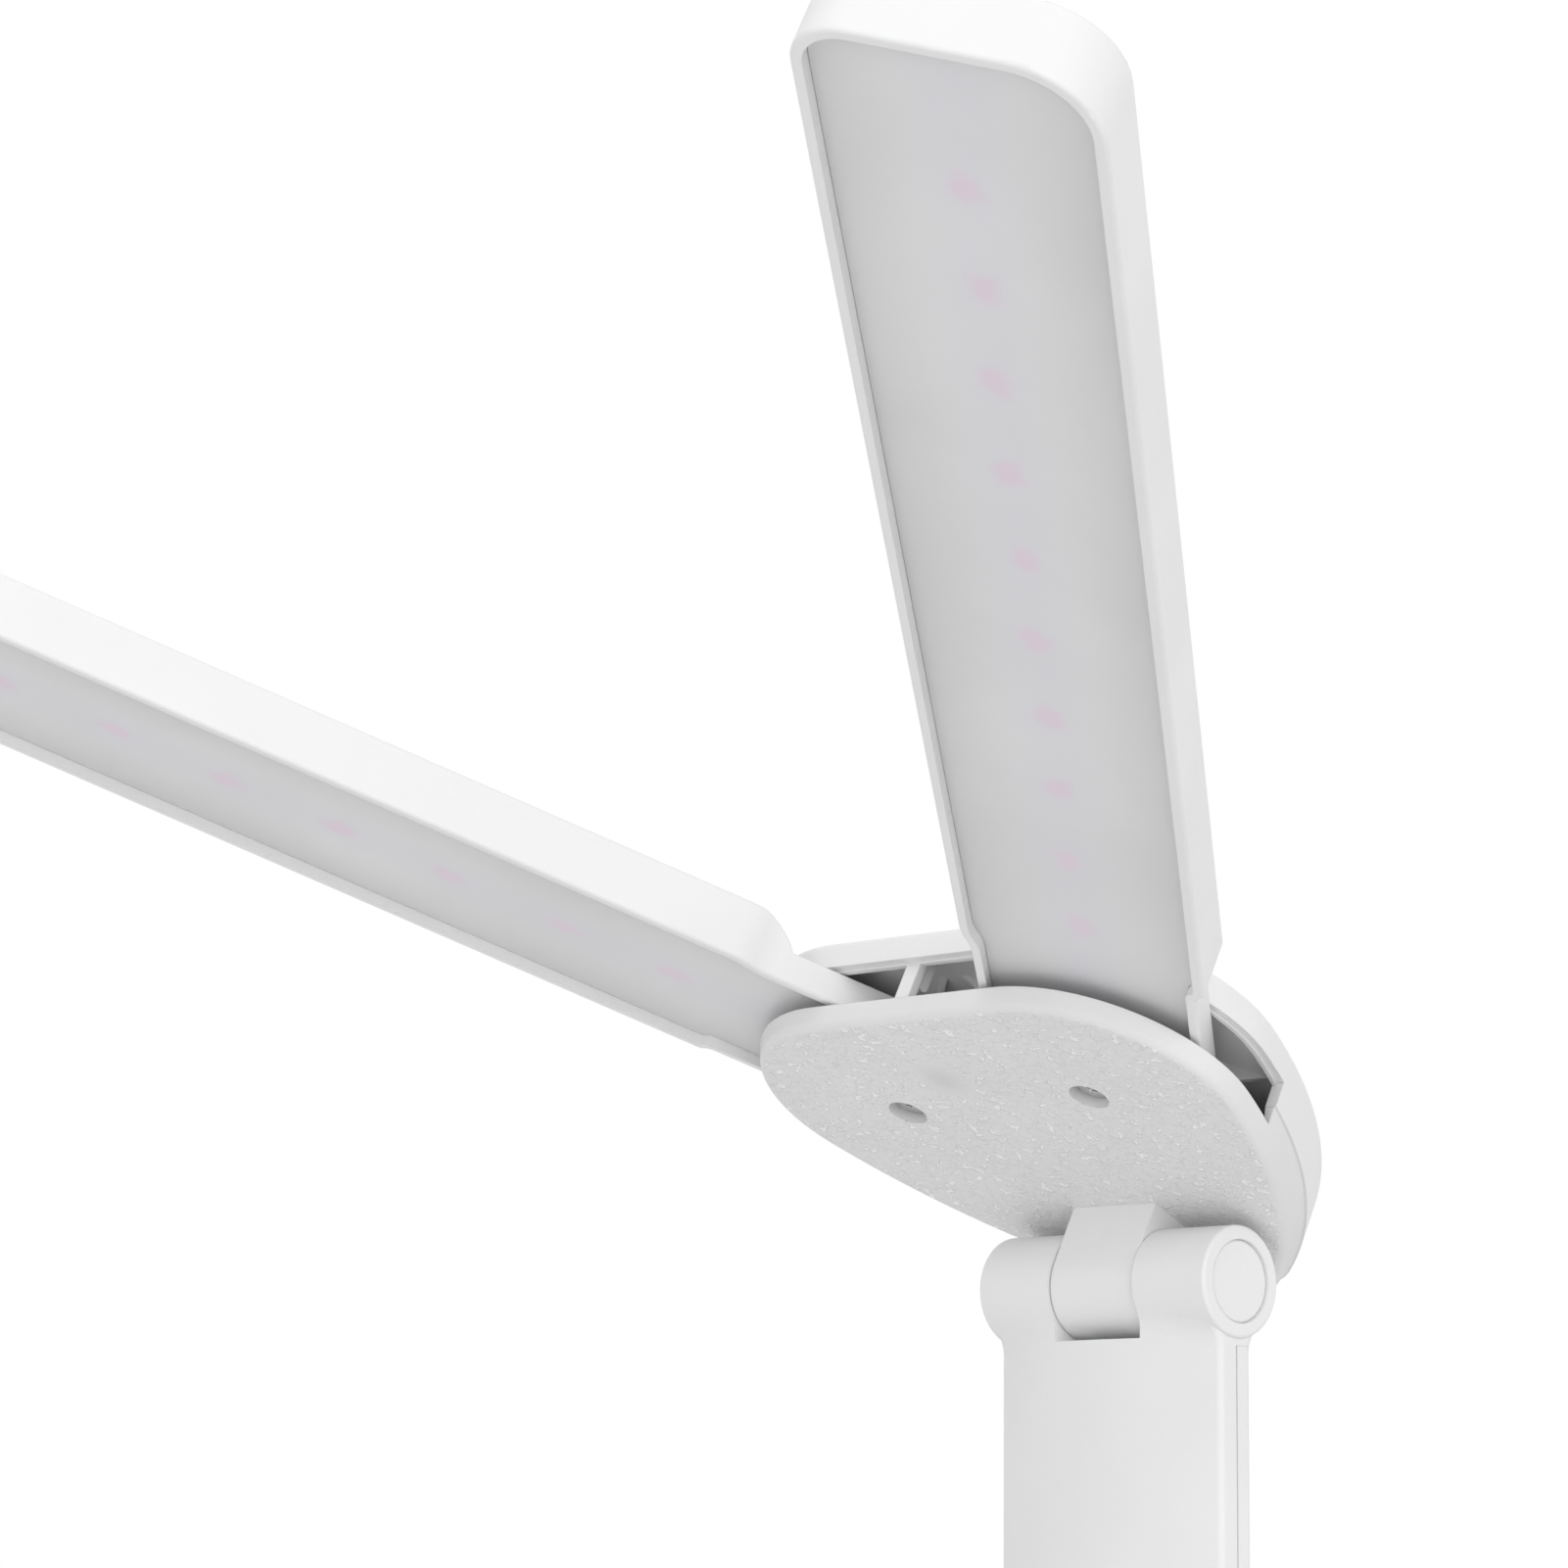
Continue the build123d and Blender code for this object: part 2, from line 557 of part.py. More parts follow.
def make_hub_cover():
    lip_bottom = hub_parting - locating_lip_depth
    lip_top = hub_parting + locating_lip_depth
    lip_end = mouth_end - locating_lip_setback
    gusset_edge = hub_ceiling - pivot_collar_height
    with BuildPart() as cover:
        with BuildSketch(hub_plane.offset(hub_parting)):
            add(pick_outline(0))
        extrude(amount=hub_thickness - hub_parting)
        fillet(cover.edges().group_by(hub_axis)[-1], cover_edge_radius)
        with BuildSketch(hub_plane.offset(hub_parting)):
            add(pick_outline(cover_wall))
        extrude(amount=hub_ceiling - hub_parting, mode=Mode.SUBTRACT)
        # lip that locates in the lower shell
        with BuildSketch(hub_plane.offset(lip_bottom)):
            add(pick_outline(cover_wall))
            add(pick_outline(cover_wall + locating_lip), mode=Mode.SUBTRACT)
        extrude(amount=lip_top - lip_bottom)
        lip_in_mouth = mouth_ring(cover_wall, cover_wall + locating_lip, lip_bottom, lip_top, lip_end)
        add(lip_in_mouth, mode=Mode.SUBTRACT)
        # mouth, with a skirt above it whose inner part hangs lower
        add(mouth_cutter(0, mouth_top, mouth_end, mouth_end), mode=Mode.SUBTRACT)
        add(mouth_ring(0, cover_wall - skirt_lip, mouth_top, mouth_top + skirt_step, mouth_end),
            mode=Mode.SUBTRACT)
        # gussets that radiate over the necks
        for side in (-1, 1):
            for angle in gusset_angles:
                with BuildSketch(upright_plane(side, angle)):
                    with BuildLine():
                        Polyline((pivot_boss_radius, hub_ceiling), (pivot_boss_radius, gusset_edge),
                                 (gusset_knee, gusset_edge), (hub_corner_radius - cover_wall, hub_ceiling),
                                 close=True)
                    make_face()
                extrude(amount=gusset_thickness / 2, both=True)
        with BuildSketch(hub_plane.offset(hub_ceiling - pivot_collar_height)):
            with Locations(*pivot_points()):
                Circle(pivot_collar_radius)
        extrude(amount=pivot_collar_height)
        # pivot posts down to the lower shell, with a screw bore in each
        with BuildSketch(hub_plane.offset(plate_thickness)):
            with Locations(*pivot_points()):
                Circle(pivot_boss_radius)
        extrude(amount=hub_ceiling - plate_thickness)
        with Locations(hub_plane.offset(plate_thickness)):
            with Locations(*[(x, y, 0) for x, y in pivot_points()]):
                Cylinder(pivot_screw_radius, 2 * pivot_screw_length, mode=Mode.SUBTRACT)
        # post in the middle of the mouth, and the web behind it with a rounded end
        post_front = -pivot_reach - hub_corner_radius + floor_inset + centre_post_setback
        with BuildSketch(hub_plane.offset(plate_thickness)):
            with Locations((0, post_front)):
                Rectangle(centre_post_width, centre_post_depth, align=(Align.CENTER, Align.MIN))
        extrude(amount=hub_ceiling - plate_thickness)
        web_end = plate_thickness + centre_web_drop + centre_web_depth / 2
        web_middle = post_front + centre_post_depth + centre_web_depth / 2
        with BuildSketch(Plane(origin=hub_plane.origin, x_dir=hub_plane.y_dir, z_dir=hub_plane.x_dir)):
            with Locations((web_middle, web_end)):
                Circle(centre_web_depth / 2)
                Rectangle(centre_web_depth, hub_ceiling - web_end, align=(Align.CENTER, Align.MIN))
        extrude(amount=centre_post_width / 2 - centre_web_relief, both=True)
    save(cover.part, "hub_cover")


def make_pivot_screws():
    with BuildPart() as pivot_screws:
        with BuildSketch(hub_plane.offset(screw_recess_depth)):
            with Locations(*pivot_points()):
                Circle(pivot_screw_head_radius)
        extrude(amount=-pivot_screw_head_height)
        with BuildSketch(hub_plane.offset(screw_recess_depth)):
            with Locations(*pivot_points()):
                Circle(pivot_screw_radius)
        extrude(amount=pivot_screw_length)
    save(pivot_screws.part, "pivot_screws")


# =================================================================== light bars
def head_plane(side, splay):
    """Plane of one light bar: origin on its pivot at the hub's underside, x along the bar."""
    angle = radians(splay)
    pivot = hub_plane.from_local_coords((side * pivot_offset, -pivot_reach, 0))
    along = hub_plane.from_local_coords((side * (pivot_offset + sin(angle)), -pivot_reach - cos(angle), 0))
    return Plane(origin=pivot, x_dir=along - pivot, z_dir=hub_normal)


def upright_plane(side, splay):
    """The same line as x, with y along the hub's normal."""
    plane = head_plane(side, splay)
    return Plane(origin=plane.origin, x_dir=plane.x_dir, z_dir=-plane.y_dir)


def jog(side, inset, gap, run):
    """Draw the smooth step between neck and bar, on the side of +y where `side` is 1; its two ends."""
    start = hub_corner_radius + gap + inset * neck_step / run
    neck_end = Vector(start, side * (neck_width / 2 - inset))
    bar_end = Vector(start + run, side * (bar_width / 2 - inset))
    middle = (neck_end + bar_end) / 2
    TangentArc(neck_end, middle, tangent=(1, 0))
    TangentArc(bar_end, middle, tangent=(-1, 0))
    return neck_end, bar_end


def bar_outline(inset, side, start):
    """Outline of a bar from `start` to its tip; the bar's outer edge is at +y where side is 1."""
    inner = (bar_inner_corner - inset, inner_jog_gap, inner_jog_run)
    outer = (bar_outer_corner - inset, outer_jog_gap, outer_jog_run)
    (low, *low_jog), (high, *high_jog) = (inner, outer) if side > 0 else (outer, inner)
    half = bar_width / 2 - inset
    tip = bar_length - inset
    with BuildSketch() as outline:
        with BuildLine():
            low_neck, low_bar = jog(-1, inset, *low_jog)
            high_neck, high_bar = jog(1, inset, *high_jog)
            Polyline(low_neck, (0, low_neck.Y), (0, high_neck.Y), high_neck)
            Line(low_bar, (tip - low, -half))
            CenterArc((tip - low, low - half), low, -90, 90)
            Line((tip, low - half), (tip, half - high))
            CenterArc((tip - high, half - high), high, 0, 90)
            Line((tip - high, half), high_bar)
        make_face()
        with Locations((start, 0)):
            Rectangle(bar_length, bar_width, align=(Align.MIN, Align.CENTER), mode=Mode.INTERSECT)
    return outline.sketch


def make_head(word, side, splay):
    plane = head_plane(side, splay)
    lens_top = bar_bottom + lens_depth + lens_thickness
    cavity_top = bar_top - bar_roof

    with BuildPart() as shell:
        with BuildSketch(plane.offset(bar_bottom)):
            add(bar_outline(0, side, 0))
            Circle(neck_width / 2)
        extrude(amount=bar_top - bar_bottom)
        fillet(shell.edges().group_by(hub_axis)[-1], bar_edge_radius)
        fillet(shell.edges().group_by(hub_axis)[0], rim_edge_radius)
        # the bar's top comes down to the neck in a rounded shoulder, tangent to the bar's top
        rise = bar_top - neck_top
        shoulder_radius = (shoulder_run ** 2 + rise ** 2) / (2 * rise)
        shoulder_turn = degrees(asin(shoulder_run / shoulder_radius))
        with BuildSketch(upright_plane(side, splay)):
            with BuildLine():
                Polyline((shoulder_top, bar_top), (shoulder_top, 2 * bar_top), (-neck_width, 2 * bar_top),
                         (-neck_width, neck_top), (shoulder_foot, neck_top))
                CenterArc((shoulder_top, bar_top - shoulder_radius), shoulder_radius, 90, shoulder_turn)
            make_face()
        extrude(amount=bar_width, both=True, mode=Mode.SUBTRACT)
        # seat for the lens, the hollow above it and the wiring channel through the neck
        with BuildSketch(plane.offset(bar_bottom)):
            add(bar_outline(rim_width, side, lens_start - seat_gap))
        extrude(amount=lens_top - bar_bottom, mode=Mode.SUBTRACT)
        with BuildSketch(plane.offset(lens_top)):
            add(bar_outline(rim_width + lens_ledge, side, shoulder_top))
        extrude(amount=cavity_top - lens_top, mode=Mode.SUBTRACT)
        with BuildSketch(plane.offset(lens_top)):
            with Locations((lens_start, 0)):
                Rectangle(shoulder_top, neck_channel_width, align=(Align.MIN, Align.CENTER))
        extrude(amount=neck_top - neck_roof - lens_top, mode=Mode.SUBTRACT)
        with BuildSketch(plane):
            Circle(bush_radius)
        extrude(amount=neck_top, mode=Mode.SUBTRACT)
    save(shell.part, f"{word}_bar_shell")

    with BuildPart() as lens:
        with BuildSketch(plane.offset(lens_top)):
            add(bar_outline(rim_width + seat_gap, side, lens_start))
        extrude(amount=-lens_thickness)
    save(lens.part, f"{word}_diffuser")

    board_bottom = cavity_top - led_board_thickness
    with BuildPart() as board:
        with BuildSketch(plane.offset(cavity_top)):
            with Locations((led_board_start, 0)):
                Rectangle(led_board_end - led_board_start, led_board_width, align=(Align.MIN, Align.CENTER))
        extrude(amount=-led_board_thickness)
    save(board.part, f"{word}_led_board")

    with BuildPart() as leds:
        with BuildSketch(plane.offset(board_bottom)):
            with Locations(*[(led_first + index * led_pitch, 0) for index in range(led_count)]):
                Rectangle(led_length, led_width)
        extrude(amount=-led_height)
    save(leds.part, f"{word}_leds")

    with BuildPart() as bush:
        with BuildSketch(plane.offset(bar_bottom)):
            Circle(bush_radius)
            Circle(pivot_boss_radius + shaft_gap, mode=Mode.SUBTRACT)
        extrude(amount=neck_top - bar_bottom)
    save(bush.part, f"{word}_pivot_bush")

    with BuildPart() as washer:
        with BuildSketch(plane.offset(neck_top + shaft_gap)):
            Circle(pivot_washer_radius)
            Circle(pivot_boss_radius + shaft_gap, mode=Mode.SUBTRACT)
        extrude(amount=pivot_washer_height)
    save(washer.part, f"{word}_pivot_washer")


# =================================================================== base
def base_outline(inset):
    with BuildSketch() as outline:
        RectangleRounded(base_width - 2 * inset, base_depth - 2 * inset, base_corner_radius - inset)
    return outline.sketch


def socket_plane(y):
    """Plane across the charging socket, facing out of the base's rear."""
    return Plane(origin=(0, y, usb_axis_height), x_dir=(1, 0, 0), z_dir=(0, 1, 0))


def boss_places():
    return GridLocations(base_width - 2 * base_boss_inset, base_depth - 2 * base_boss_inset, 2, 2)


def make_base_cover():
    with BuildPart() as cover:
        with BuildSketch(Plane.XY.offset(base_foot)):
            add(base_outline(0))
        extrude(amount=base_height - base_foot)
        fillet(cover.edges().group_by(Axis.Z)[-1], base_edge_radius)
        # hollow inside, open below
        with BuildSketch(Plane.XY.offset(base_foot)):
            add(base_outline(base_wall))
        extrude(amount=base_top_inside - base_foot, mode=Mode.SUBTRACT)
        # screw bosses
        with BuildSketch(Plane.XY.offset(plate_top)):
            with boss_places():
                Circle(base_boss_radius)
        extrude(amount=base_top_inside - plate_top)
        with Locations(Plane.XY.offset(plate_top)):
            with boss_places():
                Cylinder(base_screw_radius, 2 * base_screw_length, mode=Mode.SUBTRACT)
        # seat for the touch disc, hole for the indicator, slot for the charging socket
        with BuildSketch(Plane.XY.offset(base_height)):
            with Locations((0, touch_centre)):
                Circle(touch_radius + seat_gap)
        extrude(amount=-touch_disc_height, mode=Mode.SUBTRACT)
        with BuildSketch(Plane.XY.offset(base_height)):
            with Locations((0, touch_centre)):
                Circle(touch_contact_radius + seat_gap)
            with Locations((0, indicator_centre)):
                Circle(indicator_radius + seat_gap)
        extrude(amount=-base_height / 2, mode=Mode.SUBTRACT)
        with BuildSketch(socket_plane(base_depth / 2)):
            SlotOverall(usb_width + 2 * seat_gap, usb_height + 2 * seat_gap)
        extrude(amount=-2 * base_wall, mode=Mode.SUBTRACT)
        # holes for the wires and for the screws of the pedestal
        with BuildSketch(Plane.XY.offset(base_height)):
            with Locations((0, hinge_setback)):
                SlotOverall(wire_hole_width, wire_hole_depth)
                with GridLocations(pedestal_screw_spacing, 0, 2, 1):
                    Circle(tongue_screw_radius + screw_gap)
        extrude(amount=-2 * base_wall, mode=Mode.SUBTRACT)
    save(cover.part, "base_cover")


def make_pedestal():
    """Block that carries the lower hinge, waisted towards its top, and its screws from below."""
    with BuildPart() as pedestal:
        with BuildSketch(Plane.XY.offset(base_height)):
            with Locations((0, hinge_setback)):
                RectangleRounded(pedestal_foot_width, pedestal_foot_depth, pedestal_corner)
        with BuildSketch(Plane.XY.offset(pedestal_top)):
            with Locations((0, hinge_setback)):
                RectangleRounded(barrel_length, pedestal_top_depth, pedestal_corner)
        loft()
        with BuildSketch(Plane.XY.offset(base_height)):
            with Locations((0, hinge_setback)):
                RectangleRounded(pedestal_hollow_width, pedestal_top_depth - 2 * pedestal_wall,
                                 pedestal_hollow_corner)
        extrude(amount=pedestal_top - screw_floor - base_height, mode=Mode.SUBTRACT)
        with BuildSketch(Plane.XY.offset(base_height)):
            with Locations((0, hinge_setback)):
                with GridLocations(pedestal_screw_spacing, 0, 2, 1):
                    Circle(tongue_screw_radius)
        extrude(amount=pedestal_bore_depth, mode=Mode.SUBTRACT)
        # screw holes under the tongue
        with Locations((0, hinge_setback, pedestal_top)):
            with GridLocations(tongue_screw_spacing, 0, 2, 1):
                Cylinder(tongue_screw_radius + screw_gap, 3 * screw_floor, mode=Mode.SUBTRACT)
    save(pedestal.part, "base_pedestal")

    with BuildPart() as screws:
        with BuildSketch(Plane.XY.offset(base_top_inside)):
            with Locations((0, hinge_setback)):
                with GridLocations(pedestal_screw_spacing, 0, 2, 1):
                    Circle(tongue_screw_head_radius)
        extrude(amount=-tongue_screw_head_height)
        with BuildSketch(Plane.XY.offset(base_top_inside)):
            with Locations((0, hinge_setback)):
                with GridLocations(pedestal_screw_spacing, 0, 2, 1):
                    Circle(tongue_screw_radius)
        extrude(amount=tongue_screw_length)
    save(screws.part, "pedestal_screws")


def make_base_floor():
    post_width = board_width - 2 * board_post_inset
    post_depth = board_depth - 2 * board_post_inset
    with BuildPart() as plate:
        with BuildSketch(Plane.XY.offset(base_foot)):
            add(base_outline(base_wall + seat_gap))
        extrude(amount=base_plate_thickness)
        # posts for the control board
        with BuildSketch(Plane.XY.offset(plate_top)):
            with Locations((0, board_centre)):
                with GridLocations(post_width, post_depth, 2, 2):
                    Circle(board_post_radius)
        extrude(amount=board_height)
        with BuildSketch(Plane.XY.offset(plate_top)):
            with Locations((0, usb_board_centre)):
                Rectangle(usb_board_width, usb_board_depth)
        extrude(amount=usb_lift - usb_height / 2 - usb_board_thickness)
        with Locations(Plane.XY.offset(base_foot)):
            with boss_places():
                Cylinder(base_screw_radius + screw_gap, 4 * base_plate_thickness, mode=Mode.SUBTRACT)
                Cylinder(base_screw_head_radius + screw_gap, 2 * base_screw_head_height, mode=Mode.SUBTRACT)
    save(plate.part, "base_plate")

    with BuildPart() as pad:
        with BuildSketch():
            add(base_outline(base_wall + pad_inset))
        extrude(amount=base_foot)
    save(pad.part, "non_slip_pad")

    with BuildPart() as screws:
        with BuildSketch(Plane.XY.offset(base_foot)):
            with boss_places():
                Circle(base_screw_head_radius)
        extrude(amount=base_screw_head_height)
        with BuildSketch(Plane.XY.offset(base_foot)):
            with boss_places():
                Circle(base_screw_radius)
        extrude(amount=base_screw_length)
    save(screws.part, "base_screws")


def make_base_inside():
    with BuildPart() as weight:
        with BuildSketch(Plane.XY.offset(plate_top)):
            with Locations((0, counterweight_centre)):
                RectangleRounded(counterweight_width, counterweight_depth, counterweight_corner)
        extrude(amount=counterweight_height)
        chamfer(weight.edges().group_by(Axis.Z)[-1], counterweight_chamfer)
    save(weight.part, "counterweight")

    with BuildPart() as battery:
        with BuildSketch(Plane.XY.offset(plate_top + counterweight_height)):
            with Locations((0, counterweight_centre)):
                RectangleRounded(battery_width, battery_depth, battery_corner)
        extrude(amount=battery_height)
    save(battery.part, "battery")

    with BuildPart() as board:
        with BuildSketch(Plane.XY.offset(plate_top + board_height)):
            with Locations((0, board_centre)):
                Rectangle(board_width, board_depth)
        extrude(amount=board_thickness)
    save(board.part, "control_board")

    with BuildPart() as disc:
        with BuildSketch(Plane.XY.offset(base_height)):
            with Locations((0, touch_centre)):
                Circle(touch_radius)
        extrude(amount=-touch_disc_height)
    save(disc.part, "touch_disc")

    with BuildPart() as contact:
        with BuildSketch(Plane.XY.offset(board_top)):
            with Locations((0, touch_centre)):
                Circle(touch_contact_radius)
        extrude(amount=base_height - touch_disc_height - board_top)
    save(contact.part, "touch_contact")

    with BuildPart() as indicator:
        with BuildSketch(Plane.XY.offset(board_top)):
            with Locations((0, indicator_centre)):
                Circle(indicator_radius)
        extrude(amount=base_height - board_top)
    save(indicator.part, "indicator_light")

    with BuildPart() as usb_board:
        with BuildSketch(Plane.XY.offset(usb_axis_height - usb_height / 2)):
            with Locations((0, usb_board_centre)):
                Rectangle(usb_board_width, usb_board_depth)
        extrude(amount=-usb_board_thickness)
    save(usb_board.part, "charge_board")

    mouth = base_depth / 2 - usb_setback
    with BuildPart() as socket:
        with BuildSketch(socket_plane(mouth)):
            SlotOverall(usb_width, usb_height)
            SlotOverall(usb_width - 2 * usb_wall, usb_height - 2 * usb_wall, mode=Mode.SUBTRACT)
        extrude(amount=-usb_length)
        with BuildSketch(socket_plane(mouth - usb_length)):
            SlotOverall(usb_width - usb_wall, usb_height - usb_wall)
        extrude(amount=usb_wall)
        with BuildSketch(socket_plane(mouth - usb_length)):
            Rectangle(usb_tongue_width, usb_tongue_thickness)
        extrude(amount=usb_length - usb_wall)
    save(socket.part, "charge_socket")


def make_tongue_screws(name, plane, stand):
    """The pair of screws that hold a tongue to its seat, from the seat's far side."""
    seat = plane.offset(stand * (tongue_height + screw_floor))
    with BuildPart() as screws:
        with BuildSketch(seat):
            with GridLocations(tongue_screw_spacing, 0, 2, 1):
                Circle(tongue_screw_head_radius)
        extrude(amount=stand * tongue_screw_head_height)
        with BuildSketch(seat):
            with GridLocations(tongue_screw_spacing, 0, 2, 1):
                Circle(tongue_screw_radius)
        extrude(amount=-stand * tongue_screw_length)
    save(screws.part, name)


# =================================================================== the lamp
make_arm_shells()
make_hinge_hardware("lower", lower_axis)
make_hinge_hardware("upper", upper_axis)
make_tongue("base_tongue", lower_plane, -1)
make_tongue_screws("base_tongue_screws", lower_plane, -1)
make_tongue("hub_tongue", tilt_plane, 1)
make_tongue_screws("hub_tongue_screws", tilt_plane, 1)
make_hub_plate()
make_hub_cover()
make_pivot_screws()
make_head("left", -1, left_splay)
make_head("right", 1, right_splay)
make_base_cover()
make_pedestal()
make_base_floor()
make_base_inside()
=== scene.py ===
# %% [markdown]
# # A folding LED desk lamp
# The lamp's construction comes as a fixed frame of separate, true-sized pieces: two light bars on a
# moulded hub, a flat arm, a weighted base, and everything inside them.  This file gives that frame its
# looks.  It sets the camera and a plain studio, builds the finishes as node materials, and models the
# few small pieces whose shape is finer than the frame's: screws with their cross recess, the touch
# disc, the contacts in the charging socket and the grooves on the rubber pad.
#
# The frame is loaded first, because every later place and size is read from it.  Its box is kept, and
# two of the lights are aimed at its middle.

# %% Load the lamp's frame
import json
import math

import bpy
from mathutils import Matrix, Vector


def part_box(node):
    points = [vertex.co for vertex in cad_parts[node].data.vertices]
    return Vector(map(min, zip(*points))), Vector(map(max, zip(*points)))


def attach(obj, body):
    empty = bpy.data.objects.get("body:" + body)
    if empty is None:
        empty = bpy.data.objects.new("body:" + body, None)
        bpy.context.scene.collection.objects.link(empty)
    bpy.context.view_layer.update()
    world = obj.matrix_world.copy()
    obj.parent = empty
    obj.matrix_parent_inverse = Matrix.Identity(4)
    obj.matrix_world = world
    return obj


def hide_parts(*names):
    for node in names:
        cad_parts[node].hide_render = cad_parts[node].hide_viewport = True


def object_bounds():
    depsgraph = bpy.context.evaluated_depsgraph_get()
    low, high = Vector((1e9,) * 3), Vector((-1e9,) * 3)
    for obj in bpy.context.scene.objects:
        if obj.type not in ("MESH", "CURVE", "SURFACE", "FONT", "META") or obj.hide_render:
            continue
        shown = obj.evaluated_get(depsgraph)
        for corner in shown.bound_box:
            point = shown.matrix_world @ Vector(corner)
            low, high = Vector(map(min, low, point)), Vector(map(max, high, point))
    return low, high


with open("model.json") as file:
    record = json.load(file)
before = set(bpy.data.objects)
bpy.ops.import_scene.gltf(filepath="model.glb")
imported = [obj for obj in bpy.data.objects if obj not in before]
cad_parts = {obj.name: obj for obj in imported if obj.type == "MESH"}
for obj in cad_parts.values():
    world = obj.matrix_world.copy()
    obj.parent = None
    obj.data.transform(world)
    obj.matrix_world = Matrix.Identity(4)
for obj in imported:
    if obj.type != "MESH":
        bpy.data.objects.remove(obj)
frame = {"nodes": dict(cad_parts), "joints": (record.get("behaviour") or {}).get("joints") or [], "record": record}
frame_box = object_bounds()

MM = 0.001
bpy.context.scene.view_settings.view_transform = "Standard"
joints = {joint["name"]: joint for joint in frame["joints"]}
print("pieces in the frame:", len(frame["nodes"]), "joints:", sorted(joints))

# %% [markdown]
# ## The photographer's camera
# A product camera stands a little over half a metre from the hinge, low and to the right, with a long
# lens, and looks slightly upwards at the underside of the light bars.  Blender's camera could be aimed
# with a Track To constraint, but a tracked camera can't roll and its aim has to be guessed.  Here its
# three axes are worked out from an azimuth, an elevation and a roll about the upper hinge, so every
# number is something that a photographer could measure.

# %% Camera
CAMERA_AZIMUTH = math.radians(46.084)
CAMERA_ELEVATION = math.radians(-9.279)
CAMERA_ROLL = math.radians(0.479)
CAMERA_DISTANCE = 0.6746  # along the line of sight, from the upper hinge's plane
CAMERA_SIDEWAYS = -0.04688  # the camera stands this far to the right of the hinge
CAMERA_UPWARDS = 0.06895
SENSOR_WIDTH = 36.0
LENS = 113.0

hinge = Vector(joints["head_tilt"]["pos_m"])
backward = Vector((math.sin(CAMERA_AZIMUTH) * math.cos(CAMERA_ELEVATION),
                   -math.cos(CAMERA_AZIMUTH) * math.cos(CAMERA_ELEVATION),
                   math.sin(CAMERA_ELEVATION)))
level_right = (-backward).cross(Vector((0, 0, 1))).normalized()
level_up = level_right.cross(-backward)
right = math.cos(CAMERA_ROLL) * level_right + math.sin(CAMERA_ROLL) * level_up
up = math.cos(CAMERA_ROLL) * level_up - math.sin(CAMERA_ROLL) * level_right

camera_data = bpy.data.cameras.new("product_camera")
camera_data.lens = LENS
camera_data.sensor_width = SENSOR_WIDTH
camera = bpy.data.objects.new("product_camera", camera_data)
bpy.context.scene.collection.objects.link(camera)
axes = Matrix((right, up, backward)).transposed().to_4x4()
place = hinge + CAMERA_DISTANCE * backward + CAMERA_SIDEWAYS * right + CAMERA_UPWARDS * up
camera.matrix_world = Matrix.Translation(place) @ axes
bpy.context.scene.camera = camera
print("camera stands at", [round(value, 3) for value in camera.location])

# %% [markdown]
# ## A plain white studio
# The photograph is a cut-out on white, lit from all round.  A white tent does that in a real studio:
# a large soft light above, a second one to the right, where the bars' walls are brightest, a weak one in
# front at the height of the hub, which lifts the undersides, and pale walls that fill the shadows.  The pale walls are the world colour.  What the camera sees
# behind the lamp is made pure white with Light Path, and so is what gloss and clear pieces show, so no
# extra light is thrown on the lamp to whiten the background.  The floor is a plain pale sheet that
# keeps the lamp's shadow.

# %% World, lights and floor
WALL_LIGHT = 0.745
ABOVE_POWER = 4.2
RIGHT_POWER = 11.3
FRONT_POWER = 5.3


def make_world(strength):
    world = bpy.data.worlds.new("white_tent")
    bpy.context.scene.world = world
    world.use_nodes = True
    nodes, links = world.node_tree.nodes, world.node_tree.links
    seen = nodes.new("ShaderNodeLightPath")
    camera_or_glossy = nodes.new("ShaderNodeMath")
    camera_or_glossy.operation = "MAXIMUM"
    shown = nodes.new("ShaderNodeMath")
    shown.operation = "MAXIMUM"
    level = nodes.new("ShaderNodeMapRange")
    level.inputs["To Min"].default_value = strength
    level.inputs["To Max"].default_value = 1.0
    links.new(seen.outputs["Is Camera Ray"], camera_or_glossy.inputs[0])
    links.new(seen.outputs["Is Glossy Ray"], camera_or_glossy.inputs[1])
    links.new(camera_or_glossy.outputs[0], shown.inputs[0])
    links.new(seen.outputs["Is Transmission Ray"], shown.inputs[1])
    links.new(shown.outputs[0], level.inputs["Value"])
    background = nodes["Background"]
    background.inputs["Color"].default_value = (1, 1, 1, 1)
    links.new(level.outputs["Result"], background.inputs["Strength"])


def make_softbox(name, where, aim, size, power):
    lamp = bpy.data.lights.new(name, "AREA")
    lamp.shape = "DISK"
    lamp.size = size
    lamp.energy = power
    light = bpy.data.objects.new(name, lamp)
    bpy.context.scene.collection.objects.link(light)
    light.location = where
    light.rotation_euler = (Vector(aim) - Vector(where)).to_track_quat("-Z", "Y").to_euler()
    return light


make_world(WALL_LIGHT)
lamp_middle = (frame_box[0] + frame_box[1]) / 2
make_softbox("light_above", (0.15, -0.4, 1.9), lamp_middle, 1.5, ABOVE_POWER)
make_softbox("light_right", (1.9, -0.67, 0.89), lamp_middle, 1.2, RIGHT_POWER)
make_softbox("light_front", (0.7, -2.1, 0.6), (0, -0.05, 0.33), 0.9, FRONT_POWER)

bpy.ops.object.select_all(action="DESELECT")
bpy.ops.mesh.primitive_plane_add(size=12, location=(0, 0, -0.0002))
floor = bpy.context.object
floor.name = "studio_floor"
bpy.ops.object.transform_apply(location=True)
print("studio ready, lamp's middle at", [round(value, 3) for value in lamp_middle])

